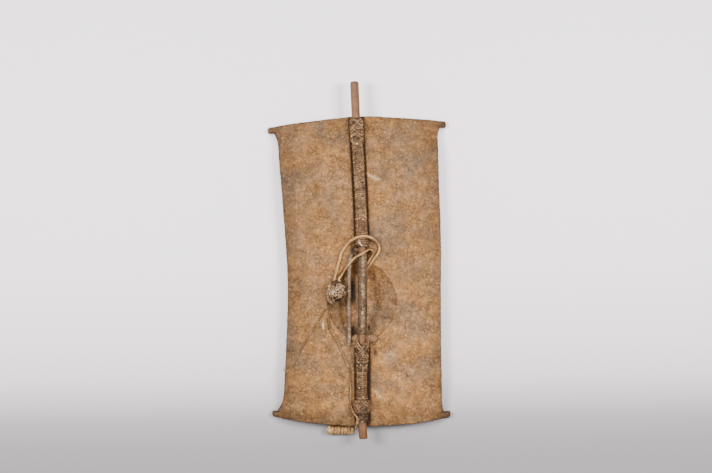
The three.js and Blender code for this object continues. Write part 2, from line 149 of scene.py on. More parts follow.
def frames(path, up=(0, 0, 1)):
    """Tangent, side and up at each point; the side keeps turning with the path."""
    t = np.gradient(path, axis=0)
    t /= np.linalg.norm(t, axis=1)[:, None] + 1e-12
    n = np.zeros_like(t)
    v = np.array(up, float)
    v = v - t[0] * v.dot(t[0])
    if np.linalg.norm(v) < 1e-3:
        v = np.array((1.0, 0, 0)) - t[0] * t[0][0]
    n[0] = v / np.linalg.norm(v)
    for i in range(1, len(t)):
        v = n[i - 1] - t[i] * n[i - 1].dot(t[i])
        n[i] = v / (np.linalg.norm(v) + 1e-12)
    return t, np.cross(t, n), n


class Build:
    """Gathers closed bodies into one mesh."""

    def __init__(self):
        self.v, self.f, self.uv, self.n, self.tone = [], [], [], 0, []

    def add(self, verts, faces, tone=0.0):
        verts = np.asarray(verts, float)
        self.v.append(verts)
        for f in faces:
            f = np.asarray(f)
            self.f.append(f + self.n)
        self.n += len(verts)
        tone = np.broadcast_to(np.asarray(tone, float), (len(verts),))
        self.tone.append(tone)

    def sweep(self, path, wide, thick=None, sides=10, up=(0, 0, 1), twist=0.0, flat_up=None, cap=True, power=2.0, rough=0.0, seed=0, tone=0.0, closed=False):
        """An oval section along a path. wide and thick are full sizes, at each point or constant."""
        path = np.asarray(path, float)
        n = len(path)
        thick = wide if thick is None else thick
        w = np.broadcast_to(np.asarray(wide, float), (n,)) / 2
        h = np.broadcast_to(np.asarray(thick, float), (n,)) / 2
        if flat_up is None:
            t, s, u = frames(path, up)
        else:
            t = np.gradient(path, axis=0)
            if closed:
                t = (np.roll(path, -1, 0) - np.roll(path, 1, 0))
            t /= np.linalg.norm(t, axis=1)[:, None] + 1e-12
            fu = np.broadcast_to(np.asarray(flat_up, float), (n, 3))
            s = np.cross(t, fu)
            s /= np.linalg.norm(s, axis=1)[:, None] + 1e-12
            u = np.cross(s, t)
        a = np.arange(sides) * TAU / sides
        ca, sa = np.cos(a), np.sin(a)
        ca = np.sign(ca) * np.abs(ca) ** (2 / power)
        sa = np.sign(sa) * np.abs(sa) ** (2 / power)
        tw = np.broadcast_to(np.asarray(twist, float), (n,)) if np.ndim(twist) else np.linspace(0, twist, n)
        cs, sn = np.cos(tw)[:, None], np.sin(tw)[:, None]
        s2, u2 = s * cs + u * sn, u * cs - s * sn
        k = 1.0
        if rough:
            idx = np.arange(n)[:, None] * np.linalg.norm(np.diff(path, axis=0), axis=1).mean() / max(w.mean() * 2, 1e-6)
            k = 1 + rough * fbm(idx, ca[None] * 1.3, sa[None] * 1.3, 3, seed)
            k = k[:, :, None]
        ring = path[:, None] + k * (s2[:, None] * (w[:, None] * ca)[:, :, None] + u2[:, None] * (h[:, None] * sa)[:, :, None])
        v = ring.reshape(-1, 3)
        i = np.arange(n - 1)[:, None] * sides
        j = np.arange(sides)[None]
        j2 = (j + 1) % sides
        quads = np.stack([i + j, i + j2, i + sides + j2, i + sides + j], -1).reshape(-1, 4)
        faces = [quads]
        tv = np.repeat(np.broadcast_to(np.asarray(tone, float), (n,)), sides)
        if closed:
            last = (n - 1) * sides
            faces.append(np.stack([last + j[0], last + j2[0], j2[0], j[0]], -1))
        elif cap:
            e0 = path[0] - t[0] * min(w[0], h[0]) * 0.5
            e1 = path[-1] + t[-1] * min(w[-1], h[-1]) * 0.5
            v = np.vstack([v, e0, e1])
            tv = np.concatenate([tv, [tv[0], tv[-1]]])
            b0, b1 = n * sides, n * sides + 1
            last = (n - 1) * sides
            faces.append(np.stack([np.full(sides, b0), j2[0], j[0]], -1))
            faces.append(np.stack([np.full(sides, b1), last + j[0], last + j2[0]], -1))
        self.add(v, faces, tv)

    def blob(self, centre, size, seg=14, rings=10, rough=0.1, seed=0, turn=0.0, tone=0.0, noise=1.0):
        th = np.linspace(0, math.pi, rings + 1)[1:-1]
        ph = np.arange(seg) * TAU / seg
        x = np.outer(np.sin(th), np.cos(ph)).ravel()
        y = np.outer(np.sin(th), np.sin(ph)).ravel()
        z = np.repeat(np.cos(th), seg)
        p = np.vstack([np.stack([x, y, z], 1), [[0, 0, 1], [0, 0, -1]]])
        k = 1 + rough * fbm(p[:, 0] * noise, p[:, 1] * noise, p[:, 2] * noise, 3, seed)
        p = p * k[:, None] * np.asarray(size) / 2
        c, s = math.cos(turn), math.sin(turn)
        p = np.stack([p[:, 0] * c - p[:, 1] * s, p[:, 0] * s + p[:, 1] * c, p[:, 2]], 1) + np.asarray(centre)
        m = rings - 1
        i = np.arange(m - 1)[:, None] * seg
        j = np.arange(seg)[None]
        j2 = (j + 1) % seg
        quads = np.stack([i + j, i + seg + j, i + seg + j2, i + j2], -1).reshape(-1, 4)
        top = np.stack([np.full(seg, m * seg), j[0], j2[0]], -1)
        bot = np.stack([np.full(seg, m * seg + 1), (m - 1) * seg + j2[0], (m - 1) * seg + j[0]], -1)
        self.add(p, [quads, top, bot], tone)

    def make(self, name, material, nodes=(), attrs=None, angle=None):
        v = np.vstack(self.v) * 0.001
        mesh = bpy.data.meshes.new(name)
        quads = np.vstack([f for f in self.f if f.shape[1] == 4]) if any(f.shape[1] == 4 for f in self.f) else np.zeros((0, 4), int)
        tris = np.vstack([f for f in self.f if f.shape[1] == 3]) if any(f.shape[1] == 3 for f in self.f) else np.zeros((0, 3), int)
        loops = np.concatenate([quads.ravel(), tris.ravel()]).astype(np.int32)
        starts = np.concatenate([np.arange(len(quads)) * 4, len(quads) * 4 + np.arange(len(tris)) * 3]).astype(np.int32)
        mesh.vertices.add(len(v))
        mesh.vertices.foreach_set("co", v.astype(np.float32).ravel())
        mesh.loops.add(len(loops))
        mesh.loops.foreach_set("vertex_index", loops)
        mesh.polygons.add(len(starts))
        mesh.polygons.foreach_set("loop_start", starts)
        mesh.update(calc_edges=True)
        mesh.validate()
        mesh.polygons.foreach_set("use_smooth", np.ones(len(mesh.polygons), bool))
        tone = np.concatenate(self.tone)
        at = mesh.attributes.new("tone", "FLOAT", "POINT")
        at.data.foreach_set("value", tone.astype(np.float32))
        for key, val in (attrs or {}).items():
            at = mesh.attributes.new(key, "FLOAT", "POINT")
            at.data.foreach_set("value", np.asarray(val, np.float32))
        o = bpy.data.objects.new(name, mesh)
        bpy.context.scene.collection.objects.link(o)
        mesh.materials.append(material)
        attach(o, "root")
        if nodes:
            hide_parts(*nodes)
        return o


# ------------------------------------------------------------------ material helpers
class Nodes:
    def __init__(self, name):
        self.mat = bpy.data.materials.new(name)
        self.mat.use_nodes = True
        self.t = self.mat.node_tree
        self.bsdf = self.t.nodes["Principled BSDF"]
        self.pos = self.t.nodes.new("ShaderNodeTexCoord").outputs["Object"]

    def new(self, kind, **props):
        n = self.t.nodes.new(kind)
        for k, v in props.items():
            setattr(n, k, v)
        return n

    def link(self, a, b):
        self.t.links.new(a, b)

    def put(self, socket, value):
        if isinstance(value, bpy.types.NodeSocket):
            self.link(value, socket)
        else:
            socket.default_value = value

    def noise(self, scale, detail=4, rough=0.55, vector=None, distortion=0.0, lac=2.0):
        n = self.new("ShaderNodeTexNoise")
        n.inputs["Scale"].default_value = scale
        n.inputs["Detail"].default_value = detail
        n.inputs["Roughness"].default_value = rough
        n.inputs["Lacunarity"].default_value = lac
        n.inputs["Distortion"].default_value = distortion
        self.link(vector or self.pos, n.inputs["Vector"])
        return n.outputs["Fac"]

    def voronoi(self, scale, feature="F1", vector=None, random=1.0):
        n = self.new("ShaderNodeTexVoronoi", feature=feature)
        n.inputs["Scale"].default_value = scale
        n.inputs["Randomness"].default_value = random
        self.link(vector or self.pos, n.inputs["Vector"])
        return n.outputs["Distance"]

    def stretch(self, scale=(1, 1, 1), rot=(0, 0, 0), vector=None):
        n = self.new("ShaderNodeMapping")
        n.inputs["Scale"].default_value = scale
        n.inputs["Rotation"].default_value = rot
        self.link(vector or self.pos, n.inputs["Vector"])
        return n.outputs["Vector"]

    def warp(self, amount, scale):
        """The object position, pushed about by noise."""
        n = self.new("ShaderNodeTexNoise")
        n.inputs["Scale"].default_value = scale
        n.inputs["Detail"].default_value = 2
        self.link(self.pos, n.inputs["Vector"])
        m = self.new("ShaderNodeVectorMath", operation="MULTIPLY_ADD")
        self.link(n.outputs["Color"], m.inputs[0])
        m.inputs[1].default_value = (amount,) * 3
        self.link(self.pos, m.inputs[2])
        return m.outputs[0]

    def ramp(self, fac, stops, mode="LINEAR"):
        n = self.new("ShaderNodeValToRGB")
        n.color_ramp.interpolation = mode
        e = n.color_ramp.elements
        while len(e) < len(stops):
            e.new(0.5)
        for el, (p, c) in zip(e, stops):
            el.position = p
            el.color = (*c, 1) if len(c) == 3 else c
        self.link(fac, n.inputs["Fac"])
        return n.outputs["Color"]

    def level(self, fac, lo, hi):
        """0 below lo, 1 above hi, smooth between."""
        n = self.new("ShaderNodeMapRange", interpolation_type="SMOOTHSTEP")
        n.inputs["From Min"].default_value = lo
        n.inputs["From Max"].default_value = hi
        self.link(fac, n.inputs["Value"])
        return n.outputs["Result"]

    def math(self, op, a, b=None, clamp=False):
        n = self.new("ShaderNodeMath", operation=op, use_clamp=clamp)
        self.put(n.inputs[0], a)
        if b is not None:
            self.put(n.inputs[1], b)
        return n.outputs[0]

    def mix(self, fac, a, b, blend="MIX"):
        n = self.new("ShaderNodeMix", data_type="RGBA", blend_type=blend)
        self.put(n.inputs[0], fac)
        self.put(n.inputs[6], a if isinstance(a, bpy.types.NodeSocket) else (*a, 1))
        self.put(n.inputs[7], b if isinstance(b, bpy.types.NodeSocket) else (*b, 1))
        return n.outputs[2]

    def attr(self, name):
        return self.new("ShaderNodeAttribute", attribute_name=name).outputs["Fac"]

    def axis(self, which, vector=None):
        n = self.new("ShaderNodeSeparateXYZ")
        self.link(vector or self.pos, n.inputs[0])
        return n.outputs[which]

    def bump(self, height, strength, distance, normal=None):
        n = self.new("ShaderNodeBump")
        n.inputs["Strength"].default_value = strength
        n.inputs["Distance"].default_value = distance
        self.link(height, n.inputs["Height"])
        if normal is not None:
            self.link(normal, n.inputs["Normal"])
        return n.outputs["Normal"]

    def finish(self, colour, rough, normal=None, **consts):
        self.put(self.bsdf.inputs["Base Color"], colour if isinstance(colour, bpy.types.NodeSocket) else (*colour, 1))
        self.put(self.bsdf.inputs["Roughness"], rough)
        if normal is not None:
            self.link(normal, self.bsdf.inputs["Normal"])
        for k, v in consts.items():
            self.bsdf.inputs[k].default_value = v
        return self.mat


# ------------------------------------------------------------------ the shield's shape, as in the frame (mm)
HIDE_THICK, BACK_Z = 5.5, 45.5
TOP_Y, BOTTOM_Y = 360.3, -416.0
EAR_TIP_X, EAR_HIGH, EAR_THICK, EAR_FALL_RUN = 224.5, 17.5, 15.0, 95.0
FLARE = {(-1, 1): (8, 30), (1, 1): (6, 26), (-1, -1): (15, 46), (1, -1): (6, 32)}
BOSS_X, BOSS_Y, BOSS_HX, BOSS_HY, BOSS_POWER = 5.5, -104.5, 87.0, 101.0, 1.78
BOSS_DEPTH, BOSS_FLAT, BOSS_ROUND = 40.0, 0.22, 1.6
GROOVE_DEEP, GROOVE_HALF = 12.0, 21.0
STICK_HALF, STICK_Z, STICK_BOW, STICK_BOW_Y, STICK_BOW_RUN = 445.5, 53.0, 6.5, -85.0, 190.0
STICK_BEND = (8.14, 0.0824, -1.0468, -0.0522, 0.0308)
STICK_R = np.array([(-445.5, 10.6), (-441, 11.2), (-400, 10.6), (-300, 9.6), (-200, 9.0), (-140, 8.6), (-60, 8.5), (20, 9.0),
                    (120, 9.4), (240, 10.0), (340, 10.8), (400, 11.2), (441, 11.0), (445.5, 10.2)])
UPPER_R = np.array([(33, 16.5), (42, 18.2), (54, 17.2), (68, 15.2), (110, 14.2), (170, 14.2), (235, 14.4), (292, 14.8),
                    (300, 16.4), (325, 16.8), (348, 16.2), (355, 14.2)])
LOWER_R = np.array([(-404, 12.6), (-392, 14.4), (-380, 18.5), (-366, 21), (-352, 20.2), (-343, 15.6), (-330, 13.7),
                    (-284, 13.9), (-272, 16), (-240, 16.6), (-215, 18.2), (-207.5, 16.6)])


def top_edge(x):
    x = np.asarray(x, float)
    return TOP_Y - np.where(x < 0, 24.0, 15.0) * (np.abs(x) / EAR_TIP_X) ** 1.1


def bottom_edge(x):
    x = np.asarray(x, float)
    a = np.abs(x) / EAR_TIP_X
    return BOTTOM_Y + np.where(x < 0, 24.0 * a ** 1.5, 15.0 * a ** 2)


def half_width(side, y):
    side, y = np.broadcast_arrays(np.asarray(side, float), np.asarray(y, float))
    left = 178 + 20 * (np.abs(y + 60) / 348) ** 1.3
    right = 201.5 + 4 * np.exp(-(((y - 40) / 120) ** 2))
    plain = np.minimum(np.where(side < 0, left, right), 206)
    at_top = top_edge(side * 210) - EAR_HIGH - y
    at_bottom = y - bottom_edge(side * 210) - EAR_HIGH
    out = plain
    for s in (-1, 1):
        for e, d in ((1, at_top), (-1, at_bottom)):
            f = FLARE[(s, e)]
            out = out + np.where(side == s, f[0] * np.clip(1 - d / f[1], 0, 1) ** 2, 0)
    return out


def stick_x(y):
    s = np.asarray(y, float) / 100
    return sum(c * s ** i for i, c in enumerate(STICK_BEND))


def stick_z(y):
    return STICK_Z + STICK_BOW * np.exp(-(((np.asarray(y, float) - STICK_BOW_Y) / STICK_BOW_RUN) ** 4))


def stick_r(y):
    return np.interp(y, STICK_R[:, 0], STICK_R[:, 1])


def boss_r(x, y):
    a = np.abs((np.asarray(x, float) - BOSS_X) / BOSS_HX) ** BOSS_POWER
    b = np.abs((np.asarray(y, float) - BOSS_Y) / BOSS_HY) ** BOSS_POWER
    return (a + b) ** (1 / BOSS_POWER)


def back_z(x, y):
    x, y = np.broadcast_arrays(np.asarray(x, float), np.asarray(y, float))
    side = np.where(x < 0, -1.0, 1.0)
    half = half_width(side, y)
    end = np.minimum(top_edge(x) - y, y - bottom_edge(x))
    z = BACK_Z - 12 * np.clip((np.abs(x) / half - 0.75) / 0.25, 0, 1) ** 2
    z = z - 3.5 * np.clip(1 - end / 40, 0, 1) ** 2
    corner = np.hypot(np.maximum(0, half - np.abs(x)), np.maximum(0, end - EAR_HIGH / 2))
    z = z - (BACK_Z - 12 - 3.5 - EAR_THICK) * smooth(0, 1, 1 - corner / EAR_FALL_RUN)
    r = boss_r(x, y)
    z = z - np.where(r < 1, BOSS_DEPTH * (1 - (np.maximum(0, r - BOSS_FLAT) / (1 - BOSS_FLAT)) ** BOSS_ROUND), 0)
    off = np.abs(x - stick_x(y)) / GROOVE_HALF
    z = z - np.where(off < 1, GROOVE_DEEP * np.cos(0.5 * math.pi * np.minimum(off, 1)) ** 2 * smooth(1.0, 1.2, r), 0)
    return z


# ------------------------------------------------------------------ materials
def thong_material(name, light, dark, rough=0.7, bump=0.5, scale=1.0, contrast=1.0, spec=0.2):
    """Dried hide thong: streaks along it, darker in the hollows, paler where it is rubbed."""
    n = Nodes(name)
    big = n.noise(38 * scale, 3, 0.6)
    fine = n.noise(230 * scale, 4, 0.7)
    tone = n.attr("tone")
    k = n.math("ADD", n.math("MULTIPLY", n.math("SUBTRACT", big, 0.5), 0.9), n.math("MULTIPLY", n.math("SUBTRACT", fine, 0.5), 1.5 * contrast))
    k = n.math("ADD", n.math("ADD", k, 0.5), n.math("MULTIPLY", tone, 0.75))
    mid = tuple(math.sqrt(a * b) for a, b in zip(light, dark))
    low = tuple(v * 0.40 for v in dark)
    c = n.ramp(k, [(0.0, low), (0.26, dark), (0.52, mid), (0.80, light), (1.0, tuple(min(0.8, v * 1.3 + 0.16) for v in light))])
    h = n.math("ADD", n.math("MULTIPLY", fine, 0.6), n.math("MULTIPLY", n.noise(900 * scale, 3, 0.6), 0.4))
    nor = n.bump(h, bump, 0.0016)
    r = n.math("ADD", rough - 0.1, n.math("MULTIPLY", fine, 0.22))
    return n.finish(c, r, nor, **{"Specular IOR Level": spec})


def wood_material(name, light, dark, rough=0.5):
    n = Nodes(name)
    grain = n.noise(70, 6, 0.6, n.stretch((1, 0.06, 1), vector=n.warp(0.004, 30)), 0.6)
    fine = n.noise(420, 4, 0.7, n.stretch((1, 0.07, 1)))
    dirt = n.noise(34, 5, 0.65)
    k = n.math("ADD", n.math("MULTIPLY", grain, 0.6), n.math("MULTIPLY", fine, 0.4))
    mid = tuple(math.sqrt(a * b) for a, b in zip(light, dark))
    c = n.ramp(k, [(0.36, dark), (0.50, mid), (0.64, light)])
    c = n.mix(n.math("MULTIPLY", n.level(dirt, 0.48, 0.66), 0.6), c, tuple(v * 0.45 for v in dark))
    c = n.mix(n.math("MULTIPLY", n.attr("tone"), 0.6), c, tuple(v * 0.35 for v in dark))
    nor = n.bump(k, 0.35, 0.0012)
    r = n.math("ADD", rough - 0.08, n.math("MULTIPLY", fine, 0.25))
    return n.finish(c, r, nor, **{"Specular IOR Level": 0.22})


HIDE_BASE = (0.158, 0.075, 0.0250)
HIDE_PINK, HIDE_OCHRE, HIDE_RUST = (0.172, 0.088, 0.0370), (0.180, 0.082, 0.0200), (0.158, 0.062, 0.0170)
HIDE_GREY, HIDE_GOLD, HIDE_DARK = (0.098, 0.063, 0.0360), (0.300, 0.155, 0.0250), (0.052, 0.023, 0.0090)


def hide_material():
    n = Nodes("rawhide")
    p = n.warp(0.012, 22)
    q = n.warp(0.005, 70)
    broad = n.noise(7.0, 3, 0.5, p)
    patch = n.noise(24, 4, 0.6, p)
    mottle = n.noise(75, 4, 0.62, q)
    speck = n.noise(185, 3, 0.62, q)
    pore = n.noise(480, 3, 0.65)
    # hue: pinkish, ochre and rusty areas over the tan
    hue = n.noise(17, 4, 0.6, n.stretch((1, 0.85, 1), (0, 0, 0.3), p))
    hue2 = n.noise(33, 4, 0.65, n.stretch((0.9, 1.1, 1), (0, 0, -0.6), p))
    c = n.mix(n.math("MULTIPLY", n.level(hue, 0.45, 0.62), 0.75), HIDE_BASE, HIDE_PINK)
    c = n.mix(n.math("MULTIPLY", n.math("SUBTRACT", 1.0, n.level(hue, 0.38, 0.52)), 0.5), c, HIDE_OCHRE)
    c = n.mix(n.math("MULTIPLY", n.level(hue2, 0.54, 0.68), 0.55), c, HIDE_RUST)
    c = n.mix(n.math("MULTIPLY", n.level(n.noise(11, 5, 0.62, n.stretch((1, 0.9, 1), (0, 0, 0.9), p)), 0.535, 0.66), 0.62), c, HIDE_GREY)
    c = n.mix(n.math("MULTIPLY", n.attr("grey"), 0.85), c, HIDE_GREY)
    # light and dark, every scale adding its share
    terms = ((broad, 0.8), (patch, 2.0), (mottle, 2.6), (speck, 2.5), (pore, 1.4))
    total = n.math("MULTIPLY", n.attr("tone"), 1.6)
    for tex, gain in terms:
        total = n.math("ADD", total, n.math("MULTIPLY", n.math("SUBTRACT", tex, 0.5), gain))
    value = n.math("POWER", 2.0, total)
    v3 = n.new("ShaderNodeCombineColor")
    for i in range(3):
        n.link(value, v3.inputs[i])
    c = n.mix(1.0, c, v3.outputs[0], "MULTIPLY")
    # dry cracks and creases, darker
    crack = n.voronoi(95, "DISTANCE_TO_EDGE", n.warp(0.008, 60))
    lines = n.math("SUBTRACT", 1.0, n.level(crack, 0.0, 0.09))
    lines = n.math("MULTIPLY", lines, n.level(n.noise(26, 3, 0.5), 0.46, 0.60))
    c = n.mix(n.math("MULTIPLY", lines, 0.42), c, HIDE_DARK)
    flecks = n.level(n.noise(150, 2, 0.5, n.stretch((1, 1, 1), (0, 0, 0.5), q)), 0.64, 0.74)
    c = n.mix(n.math("MULTIPLY", flecks, 0.55), c, (0.34, 0.21, 0.11))
    pits = n.level(n.noise(120, 2, 0.5, n.stretch((1, 1, 1), (0, 0, 1.5), q)), 0.64, 0.73)
    c = n.mix(n.math("MULTIPLY", pits, 0.5), c, HIDE_DARK)
    # placed marks: gold and pale patches, and the dark attribute, which holds dark edges and creases and painted shadow
    # in gaps and under parts
    ragged = n.math("ADD", 0.35, n.math("MULTIPLY", n.level(speck, 0.42, 0.60), 0.85))
    c = n.mix(n.math("MULTIPLY", n.attr("gold"), n.math("MULTIPLY", n.level(mottle, 0.40, 0.58), 0.8)), c, HIDE_GOLD)
    c = n.mix(n.math("MULTIPLY", n.attr("pale"), ragged, True), c, (0.60, 0.40, 0.23))
    # painted shadow, with dark edges and creases, from the dark attribute
    c = n.mix(n.attr("dark"), c, (0.020, 0.0105, 0.006))
    h = n.math("ADD", n.math("MULTIPLY", mottle, 0.6), n.math("MULTIPLY", patch, 0.45))
    h = n.math("SUBTRACT", h, n.math("MULTIPLY", lines, 0.25))
    nor = n.bump(h, 0.75, 0.0060)
    nor = n.bump(speck, 0.55, 0.0022, nor)
    nor = n.bump(pore, 0.25, 0.0008, nor)
    rough = n.math("ADD", 0.50, n.math("MULTIPLY", mottle, 0.22))
    return n.finish(c, rough, nor, **{"Specular IOR Level": 0.16})


MAT_HIDE = hide_material()
MAT_STICK = wood_material("stick_wood", (0.205, 0.092, 0.036), (0.075, 0.030, 0.013), 0.45)
MAT_PEG = wood_material("peg_wood", (0.165, 0.083, 0.038), (0.066, 0.030, 0.014), 0.55)
MAT_TOGGLE = thong_material("toggle", (0.190, 0.098, 0.042), (0.070, 0.033, 0.014), 0.6, 0.6)
MAT_LASH = thong_material("dark_thong", (0.300, 0.172, 0.080), (0.060, 0.030, 0.0135), 0.62)
MAT_GRIP = thong_material("grip_leather", (0.125, 0.074, 0.039), (0.034, 0.0185, 0.0095), 0.55, 0.4)
MAT_BRAID = thong_material("braid_thong", (0.290, 0.175, 0.082), (0.050, 0.026, 0.012), 0.6)
MAT_STRAP = thong_material("strap_hide", (0.150, 0.098, 0.060), (0.050, 0.029, 0.016), 0.6, 0.5)
MAT_KNOB = thong_material("knob_thong", (0.230, 0.132, 0.062), (0.026, 0.012, 0.0055), 0.7)
MAT_PALE = thong_material("pale_thong", (0.50, 0.285, 0.115), (0.230, 0.118, 0.042), 0.62)
MAT_GREYTHONG = thong_material("grey_thong", (0.235, 0.130, 0.055), (0.080, 0.039, 0.015), 0.65)
MAT_WOUND = thong_material("wound_thong", (0.470, 0.275, 0.110), (0.165, 0.082, 0.028), 0.64)
MAT_WHITE = thong_material("white_bits", (0.80, 0.60, 0.40), (0.50, 0.34, 0.18), 0.7)

# ------------------------------------------------------------------ cords first: routes as in the frame (mm)
WRIST_A = [(-61.5, -42.5, 50.0), (-58.9, -32.7, 50.0), (-56.2, -23.0, 50.0), (-53.3, -13.3, 50.0), (-50.5, -3.6, 50.0), (-47.6, 6.1, 50.0),
           (-44.4, 15.7, 50.0), (-40.3, 24.9, 50.0), (-34.5, 33.2, 50.0), (-28.0, 40.9, 53.6), (-21.1, 48.3, 61.2), (-12.4, 53.3, 68.7),
           (-3.1, 57.2, 75.9), (6.7, 59.8, 78.5), (16.7, 59.9, 76.5), (26.6, 57.5, 69.6), (35.5, 53.0, 62.1), (43.0, 46.2, 54.5),
           (49.2, 38.2, 50.0), (51.9, 28.6, 50.0), (49.4, 18.8, 50.0), (43.7, 10.6, 50.0), (37.5, 2.6, 50.0), (28.6, -9.4, 50.0),
           (24.0, -16.0, 46.6), (19.0, -22.5, 44.2), (13.0, -28.5, 43.6)]
WRIST_B = [(-51.5, -47.5, 43.7), (-45.5, -39.5, 44.1), (-40.4, -30.7, 46.4), (-35.4, -22.0, 53.5), (-29.4, -14.0, 61.0), (-22.8, -6.4, 62.5),
           (-16.2, 1.2, 59.4), (-8.5, 7.6, 65.8), (0.5, 12.2, 73.1), (9.2, 17.3, 74.5), (17.7, 22.5, 69.4), (26.8, 26.8, 61.8),
           (35.5, 23.0, 60.0), (35.8, 13.4, 52.5), (30.5, 4.9, 50.0), (27.3, 1.0, 49.9), (22.8, -6.2, 49.6), (17.8, -13.0, 45.8),
           (12.8, -18.8, 43.8)]
WRIST_KNOB = [(-64.5, -55.0, 54.0), (-66.5, -67.0, 57.5), (-64.0, -79.0, 59.5), (-56.5, -85.5, 60.0), (-48.5, -80.0, 58.0),
              (-45.5, -69.0, 53.5), (-47.5, -57.5, 47.5)]
EDGE = [(-68.0, -113.5, 38.1), (-74.3, -116.4, 43.3), (-80.6, -119.4, 48.0), (-86.3, -123.3, 48.0), (-90.8, -128.5, 48.0), (-94.6, -134.3, 48.0),
        (-98.3, -140.2, 48.0), (-102.2, -145.9, 48.0), (-106.0, -151.7, 48.0), (-109.8, -157.5, 48.0), (-113.6, -163.3, 48.0),
        (-117.3, -169.2, 48.0), (-121.0, -175.1, 48.0), (-124.7, -181.0, 48.0), (-128.3, -186.9, 48.0), (-131.8, -192.9, 48.0),
        (-135.3, -198.9, 48.0), (-138.9, -204.8, 48.0), (-142.6, -210.7, 47.9), (-146.5, -216.4, 47.7), (-150.2, -222.3, 47.3),
        (-153.0, -228.6, 47.0), (-155.3, -235.2, 46.6), (-157.5, -241.7, 46.3), (-160.1, -248.2, 45.9), (-163.0, -254.5, 45.3),
        (-166.5, -260.5, 44.5), (-170.8, -265.9, 43.3), (-175.8, -270.7, 41.7), (-181.5, -274.6, 39.6), (-188.3, -276.0, 36.5),
        (-194.0, -272.7, 31.3), (-191.5, -266.5, 33.5)]
TAIL = [(-62.0, -116.5, 34.5), (-73.4, -124.8, 45.0), (-78.1, -137.7, 48.7), (-79.1, -151.7, 48.7), (-76.4, -165.4, 48.7), (-69.8, -177.8, 48.7),
        (-62.8, -190.1, 48.7), (-56.7, -202.8, 48.7), (-51.2, -215.7, 48.7), (-45.8, -228.7, 48.7), (-40.6, -241.8, 48.7), (-35.3, -254.8, 48.7),
        (-30.0, -267.9, 48.7), (-26.6, -281.5, 48.7), (-26.5, -295.6, 48.7), (-26.2, -309.6, 48.7), (-26.0, -323.7, 48.7), (-26.5, -337.8, 48.7),
        (-26.5, -351.8, 48.7), (-24.7, -365.8, 48.7), (-19.7, -378.9, 57.5), (-11.6, -390.4, 65.0), (-10.2, -404.0, 62.4),
        (-11.6, -413.5, 46.0), (-13.4, -420.6, 38.5), (-14.8, -426.4, 27.0), (-15.4, -428.6, 15.0)]


def wavy(p, amount, wave, seed):
    """Small kinks that a dried thong keeps, dying out at both ends."""
    s = np.concatenate([[0], np.cumsum(np.linalg.norm(np.diff(p, axis=0), axis=1))])
    k = np.minimum(smooth(0, 12, s), smooth(0, 12, s[-1] - s))[:, None]
    o = np.stack([vnoise(s / wave, 0.3 + i, 0.7, seed + i) for i in range(3)], 1) * amount * k
    o[:, 2] = np.abs(o[:, 2]) * 0.5
    return p + o


wrist_path = catmull(WRIST_A[::-1] + WRIST_KNOB + WRIST_B, 330)
wrist_path = wavy(wrist_path, 0.5, 13, 3)
b = Build()
s = np.linspace(0, 1, len(wrist_path))
wide = 6.3 * (1 + 0.10 * vnoise(s * 26, 0, 0, 5))
thick = 3.9 * (1 + 0.12 * vnoise(s * 31, 1, 0, 6))
b.sweep(wrist_path, wide, thick, 14, twist=1.2 * vnoise(s * 7, 2, 0, 8), power=2.6, rough=0.05, seed=2, tone=0.25 * vnoise(s * 18, 4, 0, 9))
wrist = b.make("wrist_thong", MAT_PALE, ("wrist_thong_a", "wrist_thong_b"))

edge_path = wavy(catmull(EDGE, 220), 0.5, 9, 21)
b = Build()
s = np.linspace(0, 1, len(edge_path))
b.sweep(edge_path, 3.3 * (1 + 0.16 * vnoise(s * 30, 0, 0, 15)) * (1 - 0.35 * smooth(0.9, 1, s)), 2.2 * (1 + 0.12 * vnoise(s * 31, 1, 0, 16)), 10,
        twist=9 * s, power=2.4, rough=0.07, seed=12, tone=0.3 * vnoise(s * 20, 4, 0, 19))
edge = b.make("edge_thong_strip", MAT_GREYTHONG, ("edge_thong",))

tail_path = wavy(catmull(TAIL, 300), 0.45, 11, 31)
b = Build()
s = np.linspace(0, 1, len(tail_path))
tail_w = 4.4 * (1 + 0.12 * vnoise(s * 26, 0, 0, 35)) * (1 + 0.55 * smooth(0.80, 0.9, s))
b.sweep(tail_path, tail_w, 2.8 * (1 + 0.1 * vnoise(s * 31, 1, 0, 36)), 12, twist=3.2 * np.sin(s * 5) * (1 - smooth(0.7, 0.85, s)), power=2.8, rough=0.06, seed=32,
        tone=0.1 + 0.3 * vnoise(s * 20, 4, 0, 39) + 0.45 * smooth(0.78, 0.92, s))
tail = b.make("tail_thong_strip", MAT_GREYTHONG, ("tail_thong",))


# ------------------------------------------------------------------ the hide
def hide_grid():
    half = np.concatenate([np.arange(0, 26, 1.6), np.arange(26, 110, 2.4), np.arange(110, 186, 3.2), np.arange(186, 200, 1.4), [200.0]])
    xn = np.concatenate([-half[:0:-1], half])
    near = np.arange(0, 24, 1.6)
    lo = [BOTTOM_Y + d for d in near]
    hi = [TOP_Y - d for d in near]
    boss_lo, boss_hi = BOSS_Y - BOSS_HY - 6, BOSS_Y + BOSS_HY + 6
    a, b = lo[-1], hi[-1]
    mid = np.concatenate([
        np.linspace(a, boss_lo, int((boss_lo - a) / 3.3))[1:],
        np.linspace(boss_lo, boss_hi, int((boss_hi - boss_lo) / 2.4))[1:],
        np.linspace(boss_hi, b, int((b - boss_hi) / 3.3))[1:-1],
    ])
    yn = np.concatenate([lo, mid, hi[::-1]])
    return xn, yn


